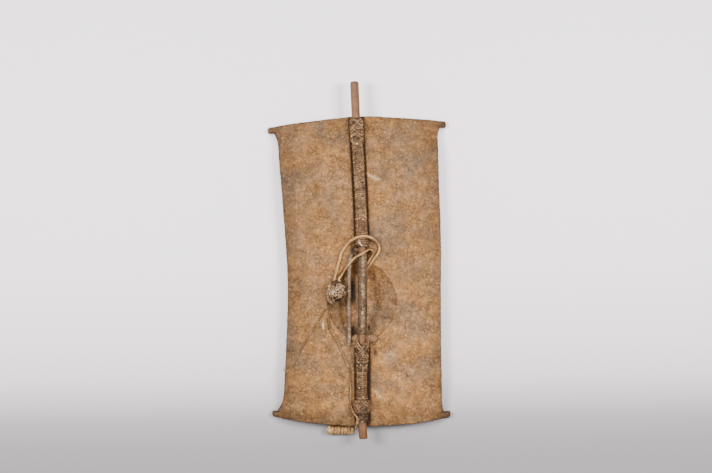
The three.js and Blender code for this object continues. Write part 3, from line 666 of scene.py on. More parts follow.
def hide_plan(xn, yn):
    X, Y = np.meshgrid(xn, yn)
    side = np.where(X < 0, -1.0, 1.0)
    dt, db = TOP_Y - Y, Y - BOTTOM_Y
    k = smooth(0.1, 0.95, np.abs(X) / 200)
    shift = np.where(dt < 160, (top_edge(side * 210) - TOP_Y) * np.clip(1 - dt / 160, 0, 1), 0)
    shift = shift + np.where(db < 160, (bottom_edge(side * 210) - BOTTOM_Y) * np.clip(1 - db / 160, 0, 1), 0)
    half = half_width(side, Y + shift)
    x = stick_x(Y) * (1 - k) + X * (1 + (half / 200 - 1) * k)
    d = np.minimum(dt, db)
    # the ears: rounded stubs beyond the long edges
    in_ear = (d <= EAR_HIGH + 0.01) & (np.abs(X) > 190)
    u = np.clip((d - EAR_HIGH / 2) / (EAR_HIGH / 2), -1, 1)
    tip = EAR_TIP_X - 4.0 * (1 - np.sqrt(np.maximum(0, 1 - u * u * 0.96)))
    f = np.clip((np.abs(X) - 190) / 10, 0, 1)
    x = np.where(in_ear, side * (half * (1 - f) + tip * f), x)
    # frayed, slightly uneven edges
    edge = smooth(175, 200, np.abs(X)) * (1 - in_ear * 0.7)
    x = x + side * edge * (0.45 * fbm(side * 3, Y / 60, 0, 3, 41) + 0.35 * vnoise(side * 3, Y / 5, 0, 42) + 0.5)
    y = Y + np.where(dt < 160, (top_edge(x) - TOP_Y) * np.clip(1 - dt / 160, 0, 1), 0)
    y = y + np.where(db < 160, (bottom_edge(x) - BOTTOM_Y) * np.clip(1 - db / 160, 0, 1), 0)
    edge = smooth(26, 0, d)
    y = y + np.where(dt < db, 1, -1) * edge * (0.5 * fbm(X / 50, np.where(dt < db, 3.0, 9.0), 0, 3, 43) + 0.35 * vnoise(X / 5, 1.0, 0, 44))
    r = boss_r(x, y)
    snap = np.abs(r - 1) < 0.0145
    x = np.where(snap, BOSS_X + (x - BOSS_X) / r, x)
    y = np.where(snap, BOSS_Y + (y - BOSS_Y) / r, y)
    return x, y, X, d, in_ear, side


def near_line(x, y, pts, width):
    """1 on a polyline, falling to 0 at width from it."""
    best = np.full(np.shape(x), 1e9)
    for (ax, ay), (bx, by) in zip(pts[:-1], pts[1:]):
        dx, dy = bx - ax, by - ay
        t = np.clip(((x - ax) * dx + (y - ay) * dy) / (dx * dx + dy * dy), 0, 1)
        best = np.minimum(best, np.hypot(x - ax - t * dx, y - ay - t * dy))
    return np.clip(1 - best / width, 0, 1)


def spot(x, y, cx, cy, rx, ry=None, turn=0.0):
    ry = rx if ry is None else ry
    c, s = math.cos(turn), math.sin(turn)
    u, v = ((x - cx) * c + (y - cy) * s) / rx, (-(x - cx) * s + (y - cy) * c) / ry
    return np.clip(1.25 - np.hypot(u, v), 0, 1)


def hide_piece():
    xn, yn = hide_grid()
    x, y, X, d, in_ear, side = hide_plan(xn, yn)
    r = boss_r(x, y)
    z = back_z(x, y)
    ax = np.abs(x)
    # relief of the dried skin
    calm = 1 - 0.6 * smooth(28, 12, np.abs(x - stick_x(y)))
    relief = 0.95 * fbm(x / 88, y / 88, 0.2, 2, 51) + 0.38 * fbm(x / 26, y / 24, 1.1, 2, 52) + 0.20 * fbm(x / 9.5, y / 8.5, 2.2, 2, 53)
    cracks = np.abs(fbm(x / 17, y / 11, 3.3, 2, 54))
    relief = relief - 0.34 * np.clip(1 - cracks / 0.10, 0, 1)
    bowl = smooth(1.0, 0.93, r)
    lines = np.sin((y + 0.0024 * (x - BOSS_X) ** 2) / 1.25 + 2.2 * vnoise(x / 22, y / 14, 0, 55))
    relief = relief * np.where(r < 1, 0.6, 1.0) + bowl * 0.34 * lines
    wr = spot(x, y, 184, 25, 30, 14)
    relief = relief + wr * 0.9 * np.sin((y + 0.12 * (x - 184)) / 1.15)
    fold = near_line(x, y, [(21, 207), (34, 199), (44, 193), (55, 190)], 7)
    relief = relief - 1.5 * fold ** 2
    ridge = near_line(x, y, [(20, 214), (36, 206), (52, 200)], 9)
    relief = relief + 1.2 * ridge ** 2
    rim_near = np.exp(-(((r - 1.03) / 0.035) ** 2)) * (r > 1)
    relief = relief + 1.0 * rim_near
    top = z + relief * calm * (1 - 0.75 * in_ear)
    top = np.minimum(top, z + 2.2)
    # skins
    half = half_width(side, y)
    thick = HIDE_THICK + (EAR_THICK - HIDE_THICK) * smooth(half - 6, half + 6, ax) * np.where(ax > 205, 1.0, 0.35)
    bottom = np.maximum(0.0, z - thick + 0.55 * fbm(x / 40, y / 40, 5.0, 3, 61))
    # ears: a rolled stub, round in section
    e = np.where(in_ear, np.clip((ax - 199) / 9, 0, 1), 0.0)
    e = e * e * (3 - 2 * e)
    u = np.clip((d - EAR_HIGH / 2) / (EAR_HIGH / 2), -1, 1)
    w = np.sqrt(np.maximum(0, 1 - u * u))
    tipf = np.clip((ax - (EAR_TIP_X - 6)) / 6, 0, 1)
    hgt = EAR_THICK / 2 * (0.35 + 0.65 * w) * (1 - 0.30 * tipf ** 2)
    roll = 0.5 * np.sin(d * 1.15 + 0.4 * x) * (1 - tipf)
    top = top * (1 - e) + (EAR_THICK / 2 + hgt + roll) * e
    bottom = bottom * (1 - e) + np.maximum(0, EAR_THICK / 2 - hgt) * e
    ny, nx = x.shape
    # rim: the edge is rounded by intermediate rings between the skins
    bld = Build()
    P = np.stack([x, y, top], -1)
    Q = np.stack([x, y, np.minimum(bottom, top - 1.2)], -1)
    verts = [P.reshape(-1, 3), Q.reshape(-1, 3)]
    idx = np.arange(nx * ny).reshape(ny, nx)
    a, b_, c, d_ = idx[:-1, :-1], idx[:-1, 1:], idx[1:, 1:], idx[1:, :-1]
    rt = np.abs(r - 1) < 0.0005
    topq = np.stack([a, b_, c, d_], -1).reshape(-1, 4)
    # triangles where the crease of the boss crosses a cell
    ra, rb, rc, rd = [rt.ravel()[q] for q in (a, b_, c, d_)]
    flip_ac = (ra & rc).ravel()
    flip_bd = (rb & rd).ravel() & ~flip_ac
    plain = ~(flip_ac | flip_bd)
    faces = [topq[plain]]
    q = topq[flip_ac]
    faces += [q[:, [0, 1, 2]], q[:, [0, 2, 3]]]
    q = topq[flip_bd]
    faces += [q[:, [0, 1, 3]], q[:, [1, 2, 3]]]
    N = nx * ny
    faces.append((topq + N)[:, [0, 3, 2, 1]])
    loop = np.concatenate([idx[0, :], idx[1:, -1], idx[-1, -2::-1], idx[-2:0:-1, 0]])
    cen = P.reshape(-1, 3)[loop]
    nxt, prv = np.roll(cen, -1, 0), np.roll(cen, 1, 0)
    tan = (nxt - prv)[:, :2]
    out = np.stack([tan[:, 1], -tan[:, 0]], 1)
    out /= np.linalg.norm(out, axis=1)[:, None] + 1e-9
    L = len(loop)
    rings = []
    for t in (0.16, 0.5, 0.84):
        p = P.reshape(-1, 3)[loop] * (1 - t) + Q.reshape(-1, 3)[loop] * t
        bulge = math.sin(math.pi * t) * 1.3
        p[:, :2] += out * bulge * (0.8 + 0.35 * vnoise(np.arange(L) / 6.0, t * 3, 0, 66))[:, None]
        rings.append(p)
    verts += rings
    base = 2 * N
    i = np.arange(L)
    j = (i + 1) % L
    levels = [loop] + [base + k * L + i for k in range(3)] + [loop + N]
    for l0, l1 in zip(levels[:-1], levels[1:]):
        faces.append(np.stack([l0[i], l1[i], l1[j], l0[j]], -1))
    V = np.vstack(verts)
    # tone, pale, dark and gold at each point
    vx, vy = V[:, 0], V[:, 1]
    vr = boss_r(vx, vy)
    vd = np.concatenate([d.ravel(), d.ravel(), np.tile(d.ravel()[loop], 3)])
    vX = np.concatenate([X.ravel(), X.ravel(), np.tile(X.ravel()[loop], 3)])
    isrim = np.arange(len(V)) >= 2 * N
    isear = (np.abs(vx) > 203) & (vd < 19)
    tone = 0.07 * fbm(vx / 120, vy / 120, 0, 3, 71) + 0.05 * fbm(vx / 30, vy / 30, 0, 3, 72)
    # painted shade: the last term darkens the hide towards its long edges, where it turns away from the lamps
    tone = tone + 0.145 - 0.125 * vy / 400 + 0.07 * vx / 200 - 0.60 * (np.abs(vX) / 200) ** 6
    # painted shade: darker towards the top and bottom ends, more at the bottom, a little darker in the bowl, and darker
    # on the ears
    tone = tone - 0.55 * smooth(60, 0, vd) * np.where(vy < 0, 1.0, 0.45)
    tone = tone - 0.06 * smooth(1.02, 0.97, vr)
    tone = tone - 0.15 * isear
    # painted shade in the groove beside the stick
    tone = tone - 0.35 * smooth(22, 10, np.abs(vx - stick_x(vy))) * (vr > 1)
    edge = np.maximum(smooth(0.985, 1.0, np.abs(vX) / 200) * 0.75, smooth(3.4, 0.5, vd) * 0.75)
    edge = np.where(isrim, 0.9, edge)
    edge = edge * (0.75 + 0.25 * vnoise(vx / 7, vy / 7, 0, 73))
    dark = 0.62 * edge
    dark = np.maximum(dark, (0.62 + 0.2 * vnoise(vx / 20, vy / 20, 0, 76)) * np.exp(-((vr - 0.995) / 0.013) ** 2))
    dark = np.maximum(dark, 0.55 * near_line(vx, vy, [(22, 203), (35, 197), (45, 191), (55, 188)], 3.2))
    dark = np.maximum(dark, 0.85 * spot(vx, vy, 56, 244, 2.6))
    dark = np.maximum(dark, 0.5 * spot(vx, vy, -172, -117, 3))
    dark = np.maximum(dark, 0.5 * spot(vx, vy, -49, -404, 12, 5))
    dark = np.maximum(dark, 0.45 * isear * smooth(12, 16, vd))
    pale = 0.95 * near_line(vx, vy, [(-92, -151), (-92.5, -160), (-92, -169)], 3.6)
    pale = np.maximum(pale, 0.75 * spot(vx, vy, 39, -331, 3.4, 2.6))
    pale = np.maximum(pale, 0.75 * spot(vx, vy, 47, -342, 3.4, 2.6))
    pale = np.maximum(pale, 0.3 * near_line(vx, vy, [(37, -328), (49, -345)], 5))
    pale = np.maximum(pale, 0.55 * near_line(vx, vy, [(20, 216), (30, 210), (40, 207), (52, 201)], 8) ** 1.5)
    for cx, cy in ((24, -220), (39.6, -223)):
        pale = np.maximum(pale, 0.8 * spot(vx, vy, cx, cy, 2.2))
    # painted shadow in the gaps beside the lashings
    off = vx - stick_x(vy)
    gap_up = smooth(42, 56, vy) * smooth(362, 352, vy)
    gap_l = np.exp(-(((off + 17.2) / 3.1) ** 4)) * gap_up
    gap_r = np.exp(-(((off - 17.0) / 2.9) ** 4)) * gap_up
    dark = np.maximum(dark, np.maximum(gap_l, gap_r) * (0.86 + 0.12 * vnoise(vx / 9, vy / 11, 0, 74)))
    gap_dn = smooth(-205, -222, vy) * smooth(-416, -400, vy)
    gap_r2 = np.exp(-(((off - 18.5) / (3.2 + 2.6 * np.exp(-(((vy + 310) / 55) ** 2)))) ** 4)) * gap_dn
    gap_l2 = np.exp(-(((off + 17.6) / 2.4) ** 4)) * gap_dn * 0.8
    dark = np.maximum(dark, np.maximum(gap_r2 * 0.93, gap_l2))
    # painted shadow: black patches where the knob, grip, pegs and lashings shade the hide
    painted_shadow_patch = np.exp(-(((vx + 18) / 8.5) ** 6 + ((vy + 77) / 33) ** 6))
    painted_shadow_patch = np.maximum(painted_shadow_patch, np.exp(-(((vx + 20.5) / 6.5) ** 4 + ((vy + 177) / 12) ** 4)))
    painted_shadow_patch = np.maximum(painted_shadow_patch, np.exp(-(((vx + 16) / 6.5) ** 4 + ((vy - 24) / 14) ** 4)))
    painted_shadow_patch = np.maximum(painted_shadow_patch, np.exp(-(((vx + 26.0) / 3.0) ** 4 + ((vy + 199) / 14) ** 4)))
    painted_shadow_patch = np.maximum(painted_shadow_patch, np.exp(-(((vx - 22.5) / 4.0) ** 4 + ((vy + 170) / 6.5) ** 4)))
    painted_shadow_patch = np.maximum(painted_shadow_patch, np.exp(-(((vx - 37) / 5.0) ** 4 + ((vy + 231) / 9.0) ** 4)) * 0.9)
    dark = np.maximum(dark, 0.97 * painted_shadow_patch)
    grey = 0.9 * np.clip(1.2 - np.hypot((vx - 101) / 22, (vy - 101) / 26), 0, 1)
    grey = np.maximum(grey, 0.8 * np.clip(1.2 - np.hypot((vx + 65) / 26, (vy - 151) / 60), 0, 1))
    grey = np.maximum(grey, 0.7 * np.clip(1.2 - np.hypot((vx - 66) / 30, (vy - 215) / 30), 0, 1))
    grey = np.maximum(grey, 0.55 * np.clip(1.2 - np.hypot((vx - 100) / 42, (vy - 300) / 44), 0, 1))
    grey = np.maximum(grey, 0.45 * np.clip(1.2 - np.hypot((vx - 50) / 26, (vy - 60) / 40), 0, 1))
    grey = np.maximum(grey, 0.55 * smooth(1.0, 0.97, vr) * smooth(30, 62, np.abs(vx - 5.5)))
    grey = grey * (0.75 + 0.35 * vnoise(vx / 16, vy / 16, 0, 75))
    gold = 0.8 * spot(vx, vy, 90, 341, 15, 9)
    gold = np.maximum(gold, 0.9 * spot(vx, vy, 101, -69, 3.2))
    gold = np.maximum(gold, 0.9 * spot(vx, vy, 180, -155, 3.2))
    bld.add(V, faces, tone)
    return bld.make("hide_skin", MAT_HIDE, ("hide_body",), {"pale": pale, "dark": dark, "gold": gold, "grey": np.clip(grey, 0, 1)})


hide = hide_piece()


# ------------------------------------------------------------------ stick, pegs
def clear_of_hide(p, gap):
    """Lifts points that would sink into the hide's back."""
    z = back_z(p[:, 0], p[:, 1])
    near = (p[:, 1] > -240) & (p[:, 1] < 40)
    return np.stack([p[:, 0], p[:, 1], np.maximum(p[:, 2], z + np.where(near, gap + 3.0, gap))], 1)


def round_stick(y, th, r, gap=0.6):
    y, th, r = np.broadcast_arrays(np.asarray(y, float), np.asarray(th, float), np.asarray(r, float))
    p = np.stack([stick_x(y) + r * np.sin(th), y, stick_z(y) + r * np.cos(th)], -1)
    shape = p.shape
    return clear_of_hide(p.reshape(-1, 3), gap).reshape(shape)


def stick_piece():
    ys = np.concatenate([[-445.5, -445.3, -444.6, -443.2], np.linspace(-441, 441, 360), [443.2, 444.6, 445.3, 445.5]])
    k = np.concatenate([[0.45, 0.74, 0.9, 0.97], np.ones(360), [0.97, 0.9, 0.74, 0.45]])
    sides = 28
    th = np.arange(sides) * TAU / sides
    Y, T = np.meshgrid(ys, th, indexing="ij")
    r = stick_r(Y) * k[:, None]
    lump = 0.30 * fbm(np.cos(T) * 0.8, np.sin(T) * 0.8, Y / 46, 3, 81) + 0.14 * fbm(np.cos(T) * 2.3, np.sin(T) * 2.3, Y / 60, 2, 82)
    for ky, kt, amp, run in ((388, 0.6, 1.0, 9), (-422, -0.5, 0.8, 8), (412, 3.0, 0.9, 10)):
        lump = lump + amp * np.exp(-(((Y - ky) / run) ** 2)) * np.exp(-(np.sin((T - kt) / 2) ** 2) / 0.12)
    r = r + (lump - 0.25) * (np.abs(Y) < 444)
    p = np.stack([stick_x(Y) + r * np.sin(T), Y + 0.4 * np.sin(T * 2 + 1) * (np.abs(Y) > 441), stick_z(Y) + r * np.cos(T)], -1).reshape(-1, 3)
    n = len(ys)
    i = np.arange(n - 1)[:, None] * sides
    j = np.arange(sides)[None]
    j2 = (j + 1) % sides
    bld = Build()
    caps = np.array([[stick_x(-445.5), -445.2, stick_z(-445.5)], [stick_x(445.5), 445.2, stick_z(445.5)]])
    faces = [np.stack([i + j, i + sides + j, i + sides + j2, i + j2], -1).reshape(-1, 4),
             np.stack([np.full(sides, n * sides), j[0], j2[0]], -1), np.stack([np.full(sides, n * sides + 1), (n - 1) * sides + j2[0], (n - 1) * sides + j[0]], -1)]
    V = np.vstack([p, caps])
    tone = 0.35 * smooth(439, 445, np.abs(V[:, 1])) + 0.12 * vnoise(V[:, 1] / 20, 0, 0, 84) + 0.38 * smooth(-396, -412, V[:, 1]) * (0.8 + 0.3 * vnoise(V[:, 1] / 6, 1, 0, 85))
    bld.add(V, faces, tone)
    return bld.make("stick_wood", MAT_STICK, ("stick",))


stick = stick_piece()


def peg_piece(name, node, y, x0, x1, wide, thick, seed, bulge, material):
    n = 64
    x = np.linspace(x0, x1, n)
    t = np.linspace(0, 1, n)
    e = 1.3 * wide / 2 / (x1 - x0)
    prof = np.sqrt(np.maximum(0.06, 1 - (1 - np.clip(t / e, 0, 1)) ** 2)) * np.sqrt(np.maximum(0.06, 1 - (1 - np.clip((1 - t) / e, 0, 1)) ** 2))
    k = prof * (1 + 0.06 * vnoise(t * 7, 0, 0, seed) + bulge * (np.exp(-((t - 0.85) / 0.12) ** 2) + 0.6 * np.exp(-((t - 0.12) / 0.10) ** 2) - 0.5 * np.exp(-((t - 0.45) / 0.18) ** 2)))
    path = np.stack([x, y + 0.5 * vnoise(t * 3, 2, 0, 92), 51.0 + 0 * x], 1)
    bld = Build()
    bld.sweep(path, wide * k, thick * np.minimum(1.0, k), 22, up=(0, 0, 1), rough=0.06, seed=seed, tone=0.12 * vnoise(t * 6, 5, 0, 93))
    return bld.make(name, material, (node,))


upper_peg = peg_piece("upper_peg_wood", "upper_cross_peg", 26, -12.5, 39, 10, 9.8, 94, 0.05, MAT_PEG)
lower_peg = peg_piece("lower_toggle", "lower_cross_peg", -196, -21.5, 43, 19.6, 10, 97, 0.10, MAT_TOGGLE)


# ------------------------------------------------------------------ lashings
def sleeve_core(bld, rows, seed, drop=1.2, sides=26, tone=-0.6, lumps=0.35):
    """The body of a wrapping, under its strands, painted dark: it shows only in the gaps between them, as painted
    shade.
    """
    y0, y1 = rows[0, 0], rows[-1, 0]
    ys = np.concatenate([[y0], np.linspace(y0 + 0.6, y1 - 0.6, int((y1 - y0) / 2.2)), [y1]])
    th = np.arange(sides) * TAU / sides
    Y, T = np.meshgrid(ys, th, indexing="ij")
    r = np.interp(Y, rows[:, 0], rows[:, 1]) - drop
    r = r + lumps * fbm(np.cos(T) * 1.6, np.sin(T) * 1.6, Y / 9, 3, seed)
    r[0], r[-1] = stick_r(y0) - 0.5, stick_r(y1) - 0.5
    p = round_stick(Y, T, r, 0.4).reshape(-1, 3)
    n = len(ys)
    i = np.arange(n - 1)[:, None] * sides
    j = np.arange(sides)[None]
    j2 = (j + 1) % sides
    caps = np.array([[stick_x(y0), y0, stick_z(y0)], [stick_x(y1), y1, stick_z(y1)]])
    bld.add(np.vstack([p, caps]), [
        np.stack([i + j, i + sides + j, i + sides + j2, i + j2], -1).reshape(-1, 4),
        np.stack([np.full(sides, n * sides), j[0], j2[0]], -1),
        np.stack([np.full(sides, n * sides + 1), (n - 1) * sides + j2[0], (n - 1) * sides + j[0]], -1)], tone)


def winding(bld, rows, y0, y1, pitch, wide, thick, seed, lift=0.0, sides=8, per=26, hand=1, tone=0.0, wob=0.25, start=0.0):
    """A thong wound round the stick from y0 to y1."""
    turns = abs(y1 - y0) / pitch
    n = max(12, int(turns * per))
    t = np.linspace(0, turns * TAU, n) + start
    y = y0 + (y1 - y0) * np.linspace(0, 1, n) + wob * vnoise(t / 2.1, seed, 0, seed)
    r = np.interp(y, rows[:, 0], rows[:, 1]) - thick * 0.5 + lift + 0.22 * vnoise(t / 1.7, seed, 3, seed + 1)
    r = np.maximum(r, stick_r(y) + 0.3)
    p = round_stick(y, t * hand, r, 0.5 + thick / 2)
    axis = np.stack([stick_x(y), y, stick_z(y)], 1)
    up = p - axis
    up /= np.linalg.norm(up, axis=1)[:, None]
    w = wide * (1 + 0.14 * vnoise(t / 1.3, 1, seed, seed + 2))
    tn = tone + 0.22 * vnoise(t / 3.0, seed, 5, seed + 3)
    bld.sweep(p, w, thick, sides, flat_up=up, power=2.6, rough=0.05, seed=seed, tone=tn)


def band(bld, rows, yc, amp, waves, leads, wide, thick, seed, lift=0.6, tone=0.0, phase=0.0, weave=0.8, per=44, shape=1.0):
    """A plaited ring round the stick: strands that swing up and down and pass over and under."""
    total = TAU * leads
    n = int(per * leads * max(1, waves / 3))
    t = np.linspace(0, total, n, endpoint=False)
    f = waves / leads
    s = np.sin(f * t + phase)
    y = yc + amp * np.sign(s) * np.abs(s) ** shape + 0.2 * vnoise(t, seed, 0, seed)
    r = np.interp(y, rows[:, 0], rows[:, 1]) - thick * 0.4 + lift + weave * 0.5 * np.cos(2 * f * t + phase) + 0.15 * vnoise(t * 1.5, 1, seed, seed)
    p = round_stick(y, t, r, 0.6 + thick / 2)
    axis = np.stack([stick_x(y), y, stick_z(y)], 1)
    up = p - axis
    up /= np.linalg.norm(up, axis=1)[:, None]
    bld.sweep(p, wide, thick, 8, flat_up=up, power=2.5, rough=0.06, seed=seed, tone=tone + 0.25 * vnoise(t * 1.2, seed, 2, seed + 4), closed=True, cap=False)


def bead_row(bld, rows, y0, y1, step, ang, size, seed, lift=0.4, tone=0.15, jit=0.3):
    n = int(abs(y1 - y0) / step)
    for k in range(n + 1):
        y = y0 + (y1 - y0) * k / max(1, n) + jit * float(vnoise(k * 0.9, seed, 0, seed))
        a = ang + 0.10 * float(vnoise(k * 0.7, seed, 3, seed))
        r = float(np.interp(y, rows[:, 0], rows[:, 1])) - size[2] * 0.35 + lift
        p = round_stick(np.array([y]), np.array([a]), np.array([r]), size[2] / 2)[0]
        # lies flat on the wrapping: size is across, along, out
        q = Build()
        q.blob((0, 0, 0), size, 8, 6, 0.10, seed + k, 0.5 * float(vnoise(k, 2, seed, seed)))
        v = q.v[0]
        c, s_ = math.cos(a), math.sin(a)
        v = np.stack([v[:, 0] * c + v[:, 2] * s_, v[:, 1], -v[:, 0] * s_ + v[:, 2] * c], 1) + p
        bld.add(v, q.f, tone + 0.2 * float(vnoise(k * 1.3, 5, seed, seed)))


def arc_strand(bld, rows, pts, wide, thick, seed, lift=0.8, tone=0.0, n=None, sides=8, over=None):
    """A strand laid over a wrapping: pts are (y, angle in degrees, extra height)."""
    pts = np.asarray(pts, float)
    if pts.shape[1] == 2:
        pts = np.hstack([pts, np.zeros((len(pts), 1))])
    q = pts.copy()
    q[:, 1] = np.radians(q[:, 1]) * 16.0
    n = n or max(10, int(length(q) / 1.6))
    q = catmull(q, n)
    y, a, h = q[:, 0], q[:, 1] / 16.0, q[:, 2]
    r = np.interp(y, rows[:, 0], rows[:, 1]) + lift + h - thick * 0.3
    p = round_stick(y, a, r, 0.5 + thick / 2)
    axis = np.stack([stick_x(y), y, stick_z(y)], 1)
    up = p - axis
    up /= np.linalg.norm(up, axis=1)[:, None]
    s = np.linspace(0, 1, n)
    w = wide * (1 + 0.10 * vnoise(s * n / 4, seed, 0, seed)) * (0.55 + 0.45 * smooth(0, 0.08, s) * smooth(1, 0.92, s))
    bld.sweep(p, w, thick, sides, flat_up=up, power=2.4, rough=0.05, seed=seed, tone=tone + 0.2 * vnoise(s * 9, seed, 2, seed + 1))


def fleck(bld, rows, x, y, size, seed):
    """A small pale bead on a wrapping."""
    r = float(np.interp(y, rows[:, 0], rows[:, 1]))
    a = math.asin(max(-0.98, min(0.98, (x - float(stick_x(y))) / r)))
    bead_row(bld, rows, y, y, 1, a, size, seed, 0.9, 0.95, 0.0)


def upper_lashing_piece():
    rows = UPPER_R.copy()
    b = Build()
    sleeve_core(b, rows, 101, 2.0)
    # the long run: fine close winding, netted over, with a row of knots down each side
    winding(b, rows, 72, 297, 4.9, 4.6, 2.4, 111, -0.5, tone=-0.10)
    for k, (h, st) in enumerate(((1, 0.0), (1, 2.1), (1, 4.2), (-1, 1.0), (-1, 3.1), (-1, 5.2))):
        winding(b, rows, 74, 295, 33.0, 2.0, 1.5, 121 + k, 0.35, 6, 40, h, -0.02, 0.5, st)
    bead_row(b, rows, 74, 294, 5.0, math.radians(-52), (4.6, 4.3, 3.6), 131, 0.5, 0.10)
    bead_row(b, rows, 76, 292, 5.0, math.radians(50), (4.6, 4.3, 3.6), 141, 0.5, 0.10)
    bead_row(b, rows, 75, 293, 4.9, math.radians(-18), (2.6, 2.6, 2.0), 151, 0.4, -0.05)
    bead_row(b, rows, 77, 291, 4.9, math.radians(17), (2.6, 2.6, 2.0), 161, 0.4, -0.05)
    # the plaited head at the top
    winding(b, rows, 295, 352, 5.2, 4.8, 2.6, 171, -0.4, tone=-0.25)
    band(b, rows, 338, 11.5, 5, 3, 4.2, 2.6, 181, 0.9, 0.02, 0.2)
    band(b, rows, 321, 10.5, 5, 3, 4.2, 2.6, 182, 0.9, -0.05, 1.2)
    band(b, rows, 305, 9.0, 5, 3, 3.9, 2.5, 183, 0.9, -0.05, 2.3)
    bead_row(b, rows, 300, 350, 8.0, math.radians(-56), (6.2, 5.4, 4.6), 184, 1.0, 0.05)
    bead_row(b, rows, 303, 351, 8.0, math.radians(54), (6.2, 5.4, 4.6), 185, 1.0, 0.05)
    # the wider wraps by the grip
    winding(b, rows, 36, 73, 6.1, 5.8, 3.2, 191, -0.3, tone=-0.05)
    for k, (x, y, w, h) in enumerate(((-1.9, 289.2, 4.6, 4.0), (10.5, 327.7, 3.4, 3.6), (-12.0, 309.0, 3.0, 5.5), (-10.0, 102.6, 4.0, 3.0), (12.0, 101.5, 4.0, 3.0),
                                      (-8.9, 243, 3.0, 3.4), (4.2, 44.3, 3.4, 3.0), (2.0, 132.9, 2.4, 2.4), (5.0, 222.0, 2.4, 2.4))):
        fleck(b, rows, x, y, (w, h, 2.6), 501 + k)
    arc_strand(b, rows, [(47, -30, 1.0), (43, -18, 1.6), (38, -6, 1.6), (35, 2, 1.0)], 2.6, 1.8, 520, 1.2, 0.95)
    return b.make("upper_lashing_thong", MAT_LASH, ("upper_lashing",))


def lower_lashing_piece():
    rows = LOWER_R.copy()
    b = Build()
    sleeve_core(b, rows, 201, 2.0)
    # below the grip: strands cross over the peg and the stick
    winding(b, rows, -208, -272, 6.4, 5.8, 3.0, 211, -0.6, tone=-0.25)
    for k, pts in enumerate((
        [(-196, -62), (-205, -40), (-216, -8), (-228, 24), (-238, 58)],
        [(-200, -50), (-210, -26), (-221, 6), (-232, 38), (-243, 66)],
        [(-206, -58), (-216, -34), (-227, -4), (-238, 28), (-250, 62)],
        [(-196, 60), (-205, 38), (-216, 6), (-228, -26), (-240, -60)],
        [(-201, 70), (-211, 46), (-222, 14), (-233, -18), (-246, -54)],
        [(-208, 66), (-218, 40), (-229, 10), (-240, -22), (-252, -56)],
    )):
        arc_strand(b, rows, pts, 3.6, 2.2, 221 + k, 1.0 + 0.25 * (k % 3), 0.12 if k < 3 else 0.02)
    for k, (y, a) in enumerate(((-212, 60), (-224, 66), (-238, 62), (-250, 58), (-214, -62), (-232, -66), (-250, -60), (-262, -52), (-262, 50))):
        bead_row(b, rows, y, y, 1, math.radians(a), (7.0, 6.4, 5.0), 231 + k, 0.8, 0.05)
    # slim run with a row of knots down the middle
    winding(b, rows, -270, -346, 4.6, 4.4, 2.4, 241, -0.4, tone=-0.15)
    bead_row(b, rows, -262, -340, 5.4, math.radians(4), (4.6, 4.6, 3.4), 251, 0.6, 0.20)
    bead_row(b, rows, -264, -338, 5.4, math.radians(-50), (3.4, 3.8, 2.8), 252, 0.3, 0.0)
    bead_row(b, rows, -264, -338, 5.4, math.radians(50), (3.4, 3.8, 2.8), 253, 0.3, 0.0)
    # the big plaited knot near the foot
    winding(b, rows, -344, -384, 5.0, 4.6, 2.6, 261, -0.8, tone=-0.7)
    band(b, rows, -364, 15.0, 7, 5, 3.0, 2.2, 262, 0.5, -0.12, 0.3, 0.9, 40)
    band(b, rows, -364, 15.0, 7, 5, 3.0, 2.2, 263, 0.5, -0.22, 3.4, 0.9, 40)
    band(b, rows, -366, 6.0, 9, 4, 2.6, 2.0, 264, 0.9, -0.05, 1.0, 0.7, 40)
    winding(b, rows, -384, -402, 4.4, 4.4, 2.6, 265, -0.2, tone=-0.40)
    arc_strand(b, rows, [(-394, -30, 1), (-398, -62, 2.0), (-404, -80, 3.0), (-410, -86, 3.5), (-403, -92, 1.5)], 2.4, 1.8, 266, 0.8, 0.35)
    for k, (x, y, w, h) in enumerate(((14.0, -219, 3.2, 3.0), (-6.0, -253, 3.0, 3.0), (0.5, -260, 3.0, 3.0), (-3.4, -317, 3.6, 3.0), (1.0, -401.0, 2.8, 2.8), (6.0, -236, 2.6, 2.6))):
        fleck(b, rows, x, y, (w, h, 2.6), 541 + k)
    return b.make("lower_lashing_thong", MAT_LASH, ("lower_lashing",))


upper_lashing = upper_lashing_piece()
lower_lashing = lower_lashing_piece()


